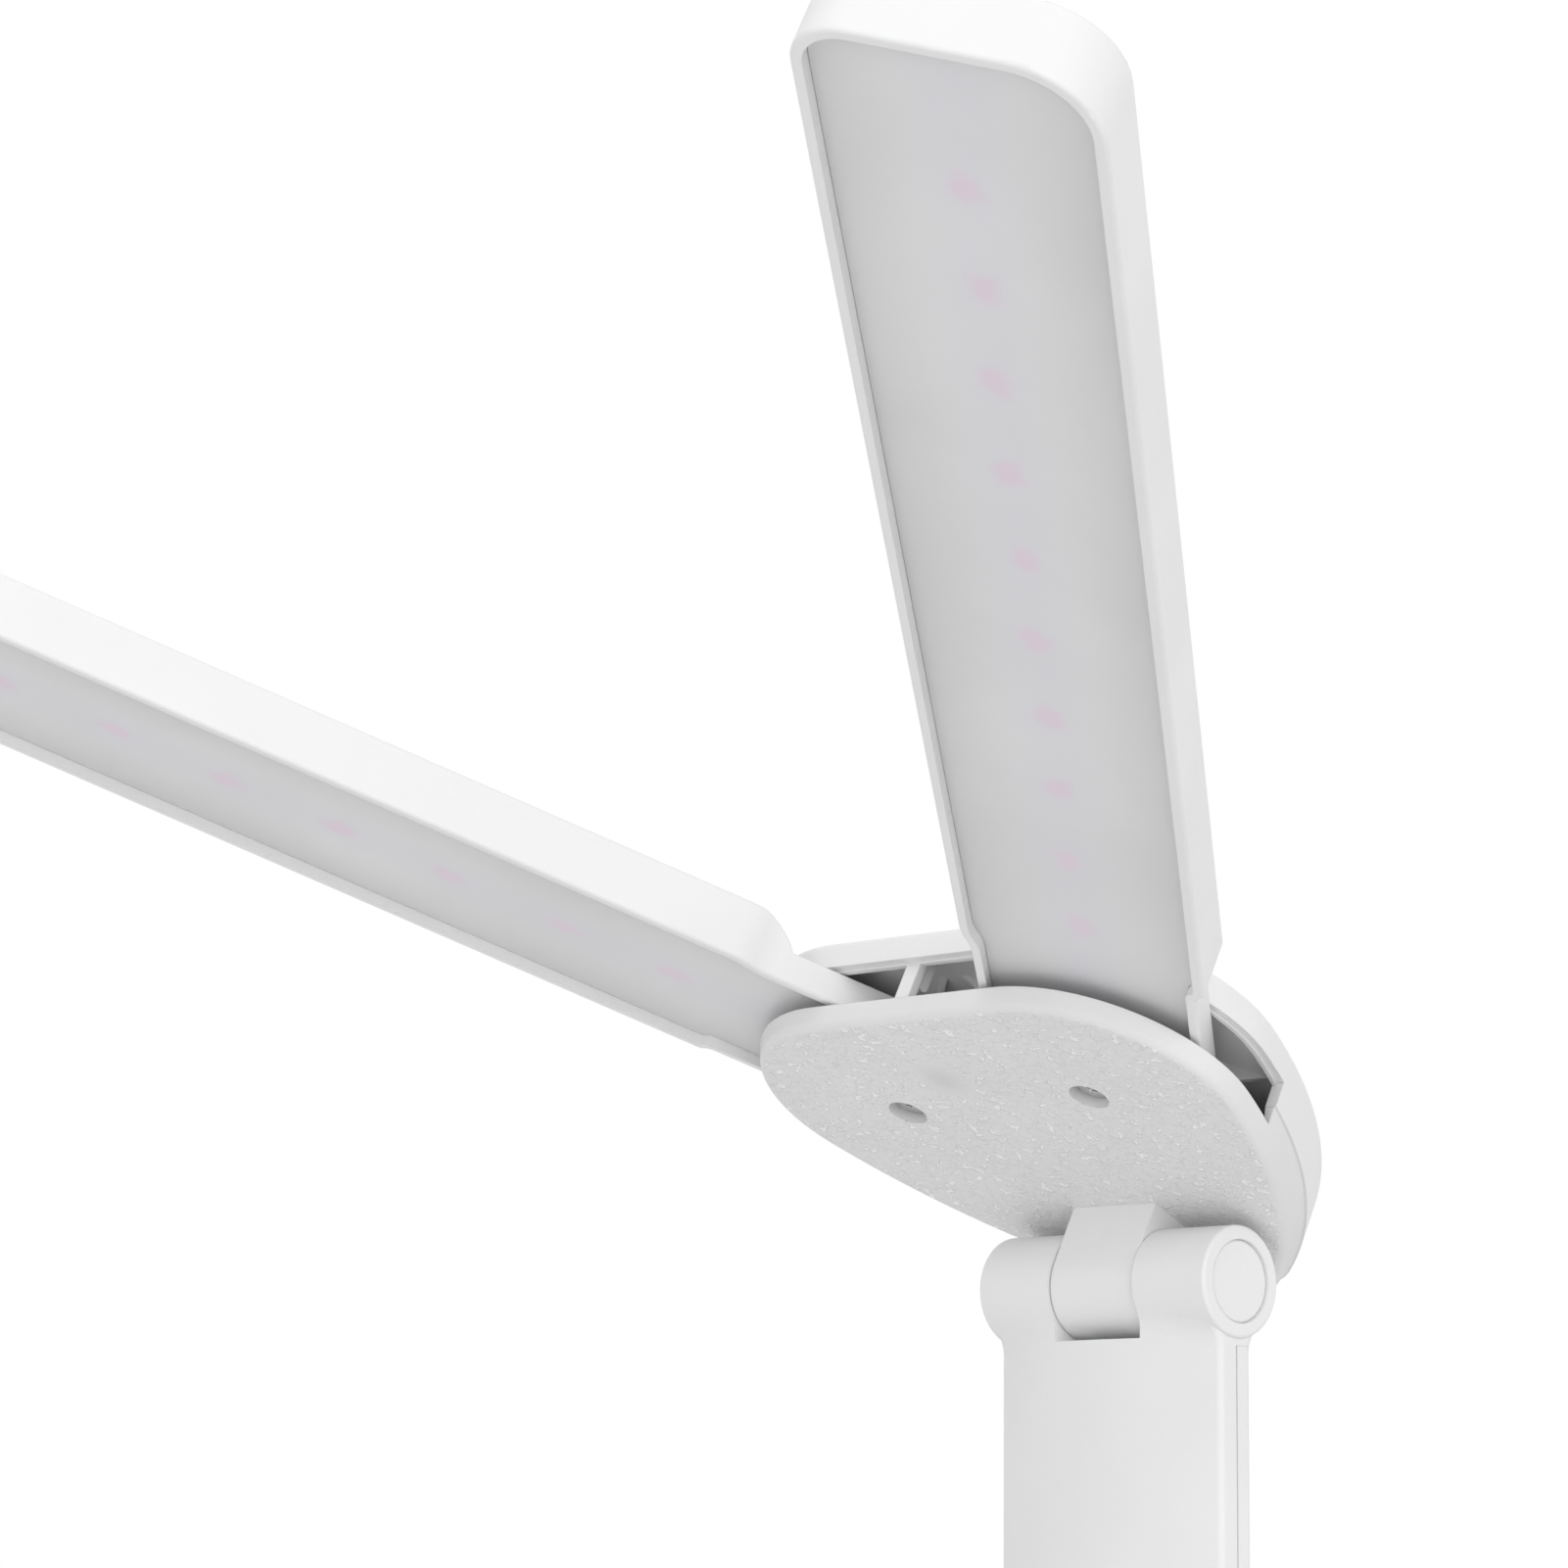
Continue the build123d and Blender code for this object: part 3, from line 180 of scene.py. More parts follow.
# %% [markdown]
# ## A small kit for node materials
# Every finish below starts the same way: a Principled shader, and a place on the piece in millimetres.
# The place comes from Object coordinates, turned into millimetres by a Mapping node, so a grain size
# can be written as it would be measured with a ruler.  Generated coordinates would stretch with each
# piece, and UVs would have to be unwrapped on forty pieces.
#
# `link` joins two sockets, and `start_finish` makes the material.  The Bevel node is there from the
# start: no moulded or stamped edge is perfectly sharp, and a fifth of a millimetre of roundness is
# what makes an edge catch the light.

# %% Material helpers
def link(tree, source, target):
    tree.links.new(source, target)


def add_math(tree, operation, first, second=None):
    """A Math node; each input is a socket or a number."""
    node = tree.nodes.new("ShaderNodeMath")
    node.operation = operation
    for socket, value in zip(node.inputs, (first, second)):
        if value is None:
            continue
        if isinstance(value, (int, float)):
            socket.default_value = value
        else:
            link(tree, value, socket)
    return node.outputs[0]


def add_range(tree, value, low, high, to_low, to_high, smooth=True):
    """Map Range from low..high to to_low..to_high, with soft ends."""
    node = tree.nodes.new("ShaderNodeMapRange")
    node.interpolation_type = "SMOOTHSTEP" if smooth else "LINEAR"
    for name, number in (("From Min", low), ("From Max", high), ("To Min", to_low), ("To Max", to_high)):
        if isinstance(number, (int, float)):
            node.inputs[name].default_value = number
        else:
            link(tree, number, node.inputs[name])
    link(tree, value, node.inputs["Value"])
    return node.outputs["Result"]


def place_in_mm(tree, origin=(0, 0, 0), turn=(0, 0, 0)):
    """Object coordinates in millimetres, counted from origin along axes that are turned by turn."""
    coordinates = tree.nodes.new("ShaderNodeTexCoord")
    mapping = tree.nodes.new("ShaderNodeMapping")
    mapping.vector_type = "TEXTURE"
    mapping.inputs["Location"].default_value = origin
    mapping.inputs["Rotation"].default_value = turn
    mapping.inputs["Scale"].default_value = (MM, MM, MM)
    link(tree, coordinates.outputs["Object"], mapping.inputs["Vector"])
    return mapping.outputs["Vector"]


def start_finish(name, colour, roughness, edge=0.2):
    """A material with its shader set, and a Bevel node that rounds edges by edge millimetres."""
    material = bpy.data.materials.new(name)
    material.use_nodes = True
    tree = material.node_tree
    shader = tree.nodes["Principled BSDF"]
    shader.inputs["Base Color"].default_value = (*colour, 1)
    shader.inputs["Roughness"].default_value = roughness
    rounded = tree.nodes.new("ShaderNodeBevel")
    rounded.samples = 6
    rounded.inputs["Radius"].default_value = edge * MM
    link(tree, rounded.outputs["Normal"], shader.inputs["Normal"])
    return material, tree, shader, rounded.outputs["Normal"]


def add_bump(tree, shader, height, depth, normal):
    """Relief of depth millimetres on top of the rounded normal."""
    bump = tree.nodes.new("ShaderNodeBump")
    bump.inputs["Strength"].default_value = 1.0
    bump.inputs["Distance"].default_value = depth * MM
    link(tree, height, bump.inputs["Height"])
    link(tree, normal, bump.inputs["Normal"])
    link(tree, bump.outputs["Normal"], shader.inputs["Normal"])


def open_group(name, inputs, outputs):
    """An empty node group with named sockets: returns the tree, its input node and its output node."""
    tree = bpy.data.node_groups.new(name, "ShaderNodeTree")
    for socket, kind, value in inputs:
        made = tree.interface.new_socket(socket, in_out="INPUT", socket_type=kind)
        if value is not None:
            made.default_value = value
    for socket, kind in outputs:
        tree.interface.new_socket(socket, in_out="OUTPUT", socket_type=kind)
    return tree, tree.nodes.new("NodeGroupInput"), tree.nodes.new("NodeGroupOutput")


def use_group(tree, group, **values):
    """Places a group in a material and fills its inputs with sockets, numbers or colours."""
    node = tree.nodes.new("ShaderNodeGroup")
    node.node_tree = group
    for name, value in values.items():
        socket = node.inputs[name]
        if isinstance(value, bpy.types.NodeSocket):
            link(tree, value, socket)
        else:
            socket.default_value = value
    return node


def scaled(tree, vector, size):
    """The vector divided by a size, so that one unit is one grain."""
    node = tree.nodes.new("ShaderNodeVectorMath")
    node.operation = "DIVIDE"
    link(tree, vector, node.inputs[0])
    joined = tree.nodes.new("ShaderNodeCombineXYZ")
    for axis in "XYZ":
        link(tree, size, joined.inputs[axis])
    link(tree, joined.outputs[0], node.inputs[1])
    return node.outputs[0]


NUMBER, COLOUR, VECTOR = "NodeSocketFloat", "NodeSocketColor", "NodeSocketVector"
print("material helpers ready")

# %% [markdown]
# ## Effects that several finishes share
# White plastic is never one white.  Flow in the mould leaves broad, faint clouds in the tone, and the
# gloss changes with them.  `moulding_clouds` gives both from one noise.  `mould_skin` is the very fine
# ripple, like the skin of an orange, that keeps a highlight on satin plastic from being a hard line,
# with the odd speck of dust.  `leather_grain` is the etched texture of the hub's underside: a field of
# low pebbles a millimetre across, with shallow creases between them that run in random directions.  `brushed_lines` are the
# marks of turning or drawing on steel.
#
# Each effect is a node group with named inputs, because more than one material uses it, each with its
# own values.

# %% Shared effect: clouds in the tone
def make_moulding_clouds():
    tree, given, made = open_group(
        "moulding_clouds",
        [("Place", VECTOR, None), ("Colour", COLOUR, (0.8, 0.8, 0.8, 1)), ("Size", NUMBER, 18.0),
         ("Depth", NUMBER, 0.03), ("Roughness", NUMBER, 0.4), ("Gloss change", NUMBER, 0.05)],
        [("Colour", COLOUR), ("Roughness", NUMBER)])
    noise = tree.nodes.new("ShaderNodeTexNoise")
    noise.inputs["Scale"].default_value = 1.0
    noise.inputs["Detail"].default_value = 3.0
    link(tree, scaled(tree, given.outputs["Place"], given.outputs["Size"]), noise.inputs["Vector"])
    cloud = add_range(tree, noise.outputs["Fac"], 0.3, 0.7, 0.0, 1.0)
    shade = add_math(tree, "SUBTRACT", 1.0, add_math(tree, "MULTIPLY", cloud, given.outputs["Depth"]))
    tone = tree.nodes.new("ShaderNodeVectorMath")
    tone.operation = "SCALE"
    link(tree, given.outputs["Colour"], tone.inputs[0])
    link(tree, shade, tone.inputs["Scale"])
    gloss = add_math(tree, "MULTIPLY", add_math(tree, "SUBTRACT", cloud, 0.5), given.outputs["Gloss change"])
    link(tree, tone.outputs[0], made.inputs["Colour"])
    link(tree, add_math(tree, "ADD", given.outputs["Roughness"], gloss), made.inputs["Roughness"])
    return tree


moulding_clouds = make_moulding_clouds()
print("group:", moulding_clouds.name)

# %% Shared effect: fine moulded skin
def make_mould_skin():
    tree, given, made = open_group(
        "mould_skin",
        [("Place", VECTOR, None), ("Ripple", NUMBER, 0.9), ("Speck spacing", NUMBER, 3.0),
         ("Specks", NUMBER, 0.3)],
        [("Height", NUMBER)])
    ripple = tree.nodes.new("ShaderNodeTexNoise")
    ripple.inputs["Scale"].default_value = 1.0
    ripple.inputs["Detail"].default_value = 2.0
    link(tree, scaled(tree, given.outputs["Place"], given.outputs["Ripple"]), ripple.inputs["Vector"])
    speck = tree.nodes.new("ShaderNodeTexVoronoi")
    speck.inputs["Scale"].default_value = 1.0
    link(tree, scaled(tree, given.outputs["Place"], given.outputs["Speck spacing"]), speck.inputs["Vector"])
    raised = add_range(tree, speck.outputs["Distance"], 0.02, 0.07, 1.0, 0.0)
    raised = add_math(tree, "MULTIPLY", raised, given.outputs["Specks"])
    link(tree, add_math(tree, "ADD", ripple.outputs["Fac"], raised), made.inputs["Height"])
    return tree


mould_skin = make_mould_skin()
print("group:", mould_skin.name)

# %% Shared effect: leather grain
def make_leather_grain():
    tree, given, made = open_group(
        "leather_grain",
        [("Place", VECTOR, None), ("Grain", NUMBER, 1.5), ("Crease", NUMBER, 0.16), ("Pebble", NUMBER, 0.95)],
        [("Height", NUMBER), ("Pebble mask", NUMBER), ("Crease mask", NUMBER)])
    wander = tree.nodes.new("ShaderNodeTexNoise")
    wander.inputs["Scale"].default_value = 0.9
    wander.inputs["Detail"].default_value = 3.0
    link(tree, given.outputs["Place"], wander.inputs["Vector"])
    shifted = tree.nodes.new("ShaderNodeVectorMath")
    shifted.operation = "ADD"
    link(tree, given.outputs["Place"], shifted.inputs[0])
    link(tree, wander.outputs["Color"], shifted.inputs[1])
    islands = tree.nodes.new("ShaderNodeTexVoronoi")
    islands.feature = "DISTANCE_TO_EDGE"
    islands.inputs["Scale"].default_value = 1.0
    link(tree, scaled(tree, shifted.outputs[0], given.outputs["Grain"]), islands.inputs["Vector"])
    plateau = add_range(tree, islands.outputs["Distance"], 0.0, given.outputs["Crease"], 0.0, 1.0)
    depth = tree.nodes.new("ShaderNodeTexNoise")
    depth.inputs["Scale"].default_value = 0.45
    link(tree, given.outputs["Place"], depth.inputs["Vector"])
    share = add_range(tree, depth.outputs["Fac"], 0.35, 0.65, 0.25, 1.0)
    crease = add_math(tree, "MULTIPLY", add_math(tree, "SUBTRACT", 1.0, plateau), share)
    swell = tree.nodes.new("ShaderNodeTexNoise")
    swell.inputs["Scale"].default_value = 1.0
    swell.inputs["Detail"].default_value = 1.5
    link(tree, scaled(tree, shifted.outputs[0], given.outputs["Pebble"]), swell.inputs["Vector"])
    pebble = add_range(tree, swell.outputs["Fac"], 0.55, 0.66, 0.0, 1.0)
    hollow = add_math(tree, "MULTIPLY", crease, 0.35)
    link(tree, add_math(tree, "SUBTRACT", pebble, hollow), made.inputs["Height"])
    link(tree, pebble, made.inputs["Pebble mask"])
    link(tree, crease, made.inputs["Crease mask"])
    return tree


leather_grain = make_leather_grain()
print("group:", leather_grain.name)

# %% Shared effect: lines left by a tool
def make_brushed_lines():
    tree, given, made = open_group(
        "brushed_lines",
        [("Place", VECTOR, None), ("Width", NUMBER, 0.15), ("Stretch", NUMBER, 12.0),
         ("Roughness", NUMBER, 0.35), ("Change", NUMBER, 0.2)],
        [("Height", NUMBER), ("Roughness", NUMBER)])
    drawn = tree.nodes.new("ShaderNodeSeparateXYZ")
    link(tree, given.outputs["Place"], drawn.inputs[0])
    along = add_math(tree, "DIVIDE", drawn.outputs["X"], given.outputs["Stretch"])
    joined = tree.nodes.new("ShaderNodeCombineXYZ")
    link(tree, along, joined.inputs["X"])
    link(tree, drawn.outputs["Y"], joined.inputs["Y"])
    link(tree, drawn.outputs["Z"], joined.inputs["Z"])
    noise = tree.nodes.new("ShaderNodeTexNoise")
    noise.inputs["Scale"].default_value = 1.0
    noise.inputs["Detail"].default_value = 4.0
    link(tree, scaled(tree, joined.outputs[0], given.outputs["Width"]), noise.inputs["Vector"])
    spread = add_math(tree, "MULTIPLY", add_math(tree, "SUBTRACT", noise.outputs["Fac"], 0.5),
                      given.outputs["Change"])
    link(tree, noise.outputs["Fac"], made.inputs["Height"])
    link(tree, add_math(tree, "ADD", given.outputs["Roughness"], spread), made.inputs["Roughness"])
    return tree


brushed_lines = make_brushed_lines()
print("group:", brushed_lines.name)

# %% [markdown]
# ## White moulded plastic
# The housings are white ABS with a satin surface straight from a polished mould: a little gloss, soft
# clouds in the tone and the orange-peel ripple.  The hinge caps, tongues, arm and base are all moulded
# the same way, so they share one finish, and the same function gives the other plastics below their
# own values for tone and gloss.

# %% Satin white housings
def make_moulded_plastic(name, colour, roughness, cloud_size=22.0, cloud_depth=0.025, edge=0.22,
                         ripple=0.8, ripple_depth=0.012):
    material, tree, shader, normal = start_finish(name, colour, roughness, edge)
    place = place_in_mm(tree)
    clouds = use_group(tree, moulding_clouds, Place=place, Colour=(*colour, 1), Size=cloud_size,
                       Depth=cloud_depth, Roughness=roughness)
    skin = use_group(tree, mould_skin, Place=place, Ripple=ripple)
    link(tree, clouds.outputs["Colour"], shader.inputs["Base Color"])
    link(tree, clouds.outputs["Roughness"], shader.inputs["Roughness"])
    add_bump(tree, shader, skin.outputs["Height"], ripple_depth, normal)
    return material


finishes = {"housing": make_moulded_plastic("satin_white_plastic", (0.80, 0.80, 0.805), 0.42)}
print("finish:", finishes["housing"].name)

# %% [markdown]
# ## The grained underside of the hub
# The hub's lower shell is the same white plastic, but its flat underside is etched with a leather
# grain, which stops where the rounded edge starts.  A faint smooth dish between the two screws is
# where the plastic entered the mould.  The grain could be modelled, but its creases are a fraction of a
# millimetre, so a bump with a mask is enough.  The mask needs to know where the flat underside is, so
# the place is counted from the middle of the two pivots along the hub's own axes: z is then the height
# above the underside, and the grain fades out as soon as the rounding lifts the surface.

# %% Grained plastic of the hub plate
GRAIN_DEPTH = 0.12
GATE_CENTRE = (-4.0, -7.0)  # millimetres from the middle of the two pivots
GATE_RADIUS = 4.8
GATE_SHADE = 0.12

left_pivot = Vector(joints["left_head_swing"]["pos_m"])
right_pivot = Vector(joints["right_head_swing"]["pos_m"])
hub_normal = Vector(joints["right_head_swing"]["axis"]).normalized()
hub_forward = Vector((1, 0, 0)).cross(hub_normal)


def turn_of(x_axis, z_axis):
    """Euler angles of the axes x_axis, z_axis cross x_axis, z_axis."""
    y_axis = z_axis.cross(x_axis)
    return Matrix((x_axis, y_axis, z_axis)).transposed().to_euler()


def make_grained_plastic():
    colour = (0.765, 0.765, 0.765)
    material, tree, shader, normal = start_finish("grained_white_plastic", colour, 0.48, 0.2)
    middle = (left_pivot + right_pivot) / 2
    place = place_in_mm(tree, middle, turn_of(Vector((1, 0, 0)), hub_normal))
    parts = tree.nodes.new("ShaderNodeSeparateXYZ")
    link(tree, place, parts.inputs[0])
    flat = add_range(tree, parts.outputs["Z"], 0.02, 0.16, 1.0, 0.0)
    gate = tree.nodes.new("ShaderNodeVectorMath")
    gate.operation = "DISTANCE"
    link(tree, place, gate.inputs[0])
    gate.inputs[1].default_value = (*GATE_CENTRE, 0)
    outside_gate = add_range(tree, gate.outputs["Value"], GATE_RADIUS * 0.55, GATE_RADIUS, 0.12, 1.0)
    amount = add_math(tree, "MULTIPLY", flat, outside_gate)
    grain = use_group(tree, leather_grain, Place=place)
    skin = use_group(tree, mould_skin, Place=place)
    relief = add_math(tree, "MULTIPLY", grain.outputs["Height"], amount)
    height = add_math(tree, "ADD", relief, add_math(tree, "MULTIPLY", skin.outputs["Height"], 0.15))
    clouds = use_group(tree, moulding_clouds, Place=place, Colour=(*colour, 1), Size=15.0, Depth=0.03,
                       Roughness=0.48)
    # Painted highlight and shade: the pebble tops are painted lighter and the creases darker, as the relief would
    # be lit.
    painted_pebble_highlight = add_math(tree, "MULTIPLY", grain.outputs["Pebble mask"], 0.18)
    painted_crease_shade = add_math(tree, "MULTIPLY", grain.outputs["Crease mask"], 0.05)
    change = add_math(tree, "MULTIPLY", add_math(tree, "SUBTRACT", painted_pebble_highlight, painted_crease_shade), amount)
    gate_tone = add_range(tree, gate.outputs["Value"], 0.0, GATE_RADIUS * 1.1, 1.0 - GATE_SHADE, 1.0)
    tone = tree.nodes.new("ShaderNodeVectorMath")
    tone.operation = "SCALE"
    link(tree, clouds.outputs["Colour"], tone.inputs[0])
    link(tree, add_math(tree, "MULTIPLY", add_math(tree, "ADD", 1.0, change), gate_tone), tone.inputs["Scale"])
    link(tree, tone.outputs[0], shader.inputs["Base Color"])
    link(tree, clouds.outputs["Roughness"], shader.inputs["Roughness"])
    add_bump(tree, shader, height, GRAIN_DEPTH, normal)
    return material


finishes["grained_plate"] = make_grained_plastic()
print("grain is", GRAIN_DEPTH, "mm deep, about", [round(value, 4) for value in (left_pivot + right_pivot) / 2])

# %% [markdown]
# ## The milky light covers
# The covers are milky plastic, a shade greyer than the housings because light goes in and is lost
# behind them.  The row of small LEDs shows through as faint pink-lilac spots.  The LEDs could be lit
# through a translucent cover, but the lamp is switched off in the photograph, and the spots are so
# faint that a row of soft discs in the colour is truer.  Each bar's place is counted from its pivot
# along the bar, so one repeat of the LED pitch draws the whole row.

# %% Diffusers with LED spots
LED_PITCH = 16.67
LED_FIRST = 36.6
LED_COUNT = 10
SPOT_RADIUS = 2.6
HALO_RADIUS = 7.5


def bar_direction(joint_name, side):
    """The way a bar points at rest: straight ahead, turned outwards by its splay."""
    splay = math.radians(-joints[joint_name]["range_deg"][0])
    return Matrix.Rotation(side * splay, 3, hub_normal) @ hub_forward


def make_led_row():
    """Spots and halos along X, one for each LED, and painted shade from the rim: the cover is darker at both edges
    and a little paler in the middle.
    """
    tree, given, made = open_group(
        "led_row", [("Place", VECTOR, None), ("Spot", NUMBER, SPOT_RADIUS), ("Halo", NUMBER, HALO_RADIUS)],
        [("Spot", NUMBER), ("Halo", NUMBER), ("Rim shade", NUMBER)])
    parts = tree.nodes.new("ShaderNodeSeparateXYZ")
    link(tree, given.outputs["Place"], parts.inputs[0])
    steps = add_math(tree, "DIVIDE", add_math(tree, "SUBTRACT", parts.outputs["X"], LED_FIRST), LED_PITCH)
    nearest = add_math(tree, "MAXIMUM", add_math(tree, "MINIMUM", add_math(tree, "ROUND", steps),
                                                 LED_COUNT - 1), 0)
    away = add_math(tree, "MULTIPLY", add_math(tree, "SUBTRACT", steps, nearest), LED_PITCH)
    noise = tree.nodes.new("ShaderNodeTexNoise")
    noise.inputs["Scale"].default_value = 0.35
    link(tree, given.outputs["Place"], noise.inputs["Vector"])
    ragged = add_math(tree, "MULTIPLY", add_math(tree, "SUBTRACT", noise.outputs["Fac"], 0.5), 2.4)
    flat = tree.nodes.new("ShaderNodeCombineXYZ")
    link(tree, add_math(tree, "MULTIPLY", away, 0.72), flat.inputs["X"])
    link(tree, parts.outputs["Y"], flat.inputs["Y"])
    length = tree.nodes.new("ShaderNodeVectorMath")
    length.operation = "LENGTH"
    link(tree, flat.outputs[0], length.inputs[0])
    reach = add_math(tree, "ADD", length.outputs["Value"], ragged)
    link(tree, add_range(tree, reach, 0.6, given.outputs["Spot"], 1.0, 0.0), made.inputs["Spot"])
    sideways = add_math(tree, "ABSOLUTE", parts.outputs["Y"])
    blotch = add_range(tree, noise.outputs["Fac"], 0.35, 0.62, 0.35, 1.0)
    band = add_range(tree, sideways, 1.0, given.outputs["Halo"], 1.0, 0.0)
    near = add_range(tree, reach, 1.0, given.outputs["Halo"], 1.0, 0.0)
    link(tree, add_math(tree, "MAXIMUM", near, add_math(tree, "MULTIPLY", band, blotch)), made.inputs["Halo"])
    # Painted shade: darker towards both edges of the cover, where the rim shades it.
    link(tree, add_range(tree, sideways, 4.0, 15.5, 1.045, 0.945), made.inputs["Rim shade"])
    return tree


led_row = make_led_row()


def mix_colours(tree, factor, first, second):
    mix = tree.nodes.new("ShaderNodeMix")
    mix.data_type = "RGBA"
    for socket, value in ((mix.inputs["Factor"], factor), (mix.inputs[6], first), (mix.inputs[7], second)):
        if isinstance(value, bpy.types.NodeSocket):
            link(tree, value, socket)
        else:
            socket.default_value = value
    return mix.outputs[2]


def make_diffuser(name, joint_name, side):
    milk = (0.695, 0.695, 0.702)
    material, tree, shader, normal = start_finish(name, milk, 0.38, 0.15)
    along = bar_direction(joint_name, side)
    place = place_in_mm(tree, Vector(joints[joint_name]["pos_m"]), turn_of(along, hub_normal))
    clouds = use_group(tree, moulding_clouds, Place=place, Colour=(*milk, 1), Size=34.0, Depth=0.05,
                       Roughness=0.38)
    row = use_group(tree, led_row, Place=place)
    halo = add_math(tree, "MULTIPLY", row.outputs["Halo"], 0.35)
    # The milk is painted darker along its edges, as the rim's shade, before the LED halos go on.
    rim_shaded_milk = tree.nodes.new("ShaderNodeVectorMath")
    rim_shaded_milk.operation = "SCALE"
    link(tree, clouds.outputs["Colour"], rim_shaded_milk.inputs[0])
    link(tree, row.outputs["Rim shade"], rim_shaded_milk.inputs["Scale"])
    haloed = mix_colours(tree, halo, rim_shaded_milk.outputs[0], (0.695, 0.668, 0.742, 1))
    spot = add_math(tree, "MULTIPLY", row.outputs["Spot"], 0.8)
    spotted = mix_colours(tree, spot, haloed, (0.75, 0.625, 0.72, 1))
    skin = use_group(tree, mould_skin, Place=place, Ripple=1.4, Specks=0.15)
    link(tree, spotted, shader.inputs["Base Color"])
    link(tree, clouds.outputs["Roughness"], shader.inputs["Roughness"])
    shader.inputs["Subsurface Weight"].default_value = 0.15
    shader.inputs["Subsurface Radius"].default_value = (0.002, 0.002, 0.002)
    add_bump(tree, shader, skin.outputs["Height"], 0.006, normal)
    return material


diffuser_finish = {"left_diffuser": make_diffuser("milky_cover_left", "left_head_swing", -1),
                   "right_diffuser": make_diffuser("milky_cover_right", "right_head_swing", 1)}
print("LED row:", LED_COUNT, "spots,", LED_PITCH, "mm apart")

# %% [markdown]
# ## Steel, rubber and the pieces inside
# Most of these pieces are hidden in the closed lamp, but each is finished as it would look on the
# bench: turned or drawn steel with its tool marks, cast ballast with a rough skin, soft rubber, acetal
# bushes, painted circuit boards and a shrink-wrapped battery.

# %% Steel
def make_steel(name, colour, roughness, width, stretch, depth=0.006):
    material, tree, shader, normal = start_finish(name, colour, roughness, 0.12)
    place = place_in_mm(tree)
    lines = use_group(tree, brushed_lines, Place=place, Width=width, Stretch=stretch, Roughness=roughness)
    clouds = use_group(tree, moulding_clouds, Place=place, Colour=(*colour, 1), Size=6.0, Depth=0.12,
                       Roughness=roughness)
    link(tree, clouds.outputs["Colour"], shader.inputs["Base Color"])
    link(tree, lines.outputs["Roughness"], shader.inputs["Roughness"])
    shader.inputs["Metallic"].default_value = 1.0
    add_bump(tree, shader, lines.outputs["Height"], depth, normal)
    return material


finishes["hinge_steel"] = make_steel("turned_steel", (0.60, 0.60, 0.61), 0.34, 0.12, 9.0)
finishes["socket_shell"] = make_steel("drawn_steel", (0.68, 0.68, 0.69), 0.28, 0.08, 14.0)
finishes["gold_contact"] = make_steel("gold_plating", (0.80, 0.58, 0.22), 0.25, 0.10, 6.0)
finishes["ballast_steel"] = make_steel("cast_ballast", (0.20, 0.20, 0.21), 0.62, 0.9, 1.0, 0.05)
print("steel finishes:", [finishes[slot].name for slot in ("hinge_steel", "socket_shell", "ballast_steel")])

# %% Rubber, acetal, wire jacket and light pipe
finishes["pad"] = make_moulded_plastic("soft_pad_rubber", (0.045, 0.045, 0.048), 0.78, 9.0, 0.25,
                                       ripple=0.35, ripple_depth=0.05)
finishes["bush"] = make_moulded_plastic("acetal", (0.80, 0.79, 0.73), 0.36, 5.0)
finishes["lead_jacket"] = make_moulded_plastic("wire_jacket", (0.72, 0.72, 0.71), 0.55, 12.0, 0.06)
finishes["touch"] = make_moulded_plastic("touch_disc_plastic", (0.70, 0.70, 0.705), 0.26, 8.0, 0.02)
finishes["contact"] = make_moulded_plastic("conductive_foam", (0.02, 0.02, 0.021), 0.85, 1.2, 0.5,
                                           ripple=0.4, ripple_depth=0.1)
finishes["light_pipe"] = make_moulded_plastic("light_pipe_plastic", (0.82, 0.83, 0.84), 0.16, 2.0, 0.03)
finishes["light_pipe"].node_tree.nodes["Principled BSDF"].inputs["Coat Weight"].default_value = 0.3
finishes["battery_wrap"] = make_moulded_plastic("battery_wrap", (0.05, 0.12, 0.30), 0.24, 14.0, 0.15,
                                                ripple=4.0, ripple_depth=0.12)
finishes["led_package"] = make_moulded_plastic("led_package", (0.82, 0.74, 0.30), 0.3, 1.0, 0.05)
finishes["led_frame"] = make_moulded_plastic("led_frame", (0.84, 0.84, 0.82), 0.35, 1.0, 0.02)
print("finishes so far:", len(finishes))

# %% Circuit boards
def make_board(name, mask_colour, copper_colour, track=1.6):
    """Solder mask over copper tracks: the tracks stand up a little and show as a lighter tone."""
    material, tree, shader, normal = start_finish(name, mask_colour, 0.3, 0.08)
    place = place_in_mm(tree)
    clouds = use_group(tree, moulding_clouds, Place=place, Colour=(*mask_colour, 1), Size=10.0, Depth=0.08,
                       Roughness=0.3)
    tracks = tree.nodes.new("ShaderNodeTexBrick")
    tracks.inputs["Scale"].default_value = 1 / track
    tracks.inputs["Mortar Size"].default_value = 0.12
    tracks.inputs["Mortar Smooth"].default_value = 0.3
    tracks.inputs["Brick Width"].default_value = 3.1
    link(tree, place, tracks.inputs["Vector"])
    raised = tracks.outputs["Fac"]
    shown = mix_colours(tree, add_math(tree, "MULTIPLY", raised, 0.5), clouds.outputs["Colour"],
                        (*copper_colour, 1))
    link(tree, shown, shader.inputs["Base Color"])
    link(tree, clouds.outputs["Roughness"], shader.inputs["Roughness"])
    shader.inputs["Coat Weight"].default_value = 0.4
    add_bump(tree, shader, raised, 0.03, normal)
    return material


finishes["circuit_board"] = make_board("white_led_board", (0.78, 0.79, 0.78), (0.62, 0.60, 0.52), 4.0)
finishes["control_circuit"] = make_board("green_control_board", (0.02, 0.12, 0.05), (0.05, 0.22, 0.09))
print("boards:", finishes["circuit_board"].name, finishes["control_circuit"].name)

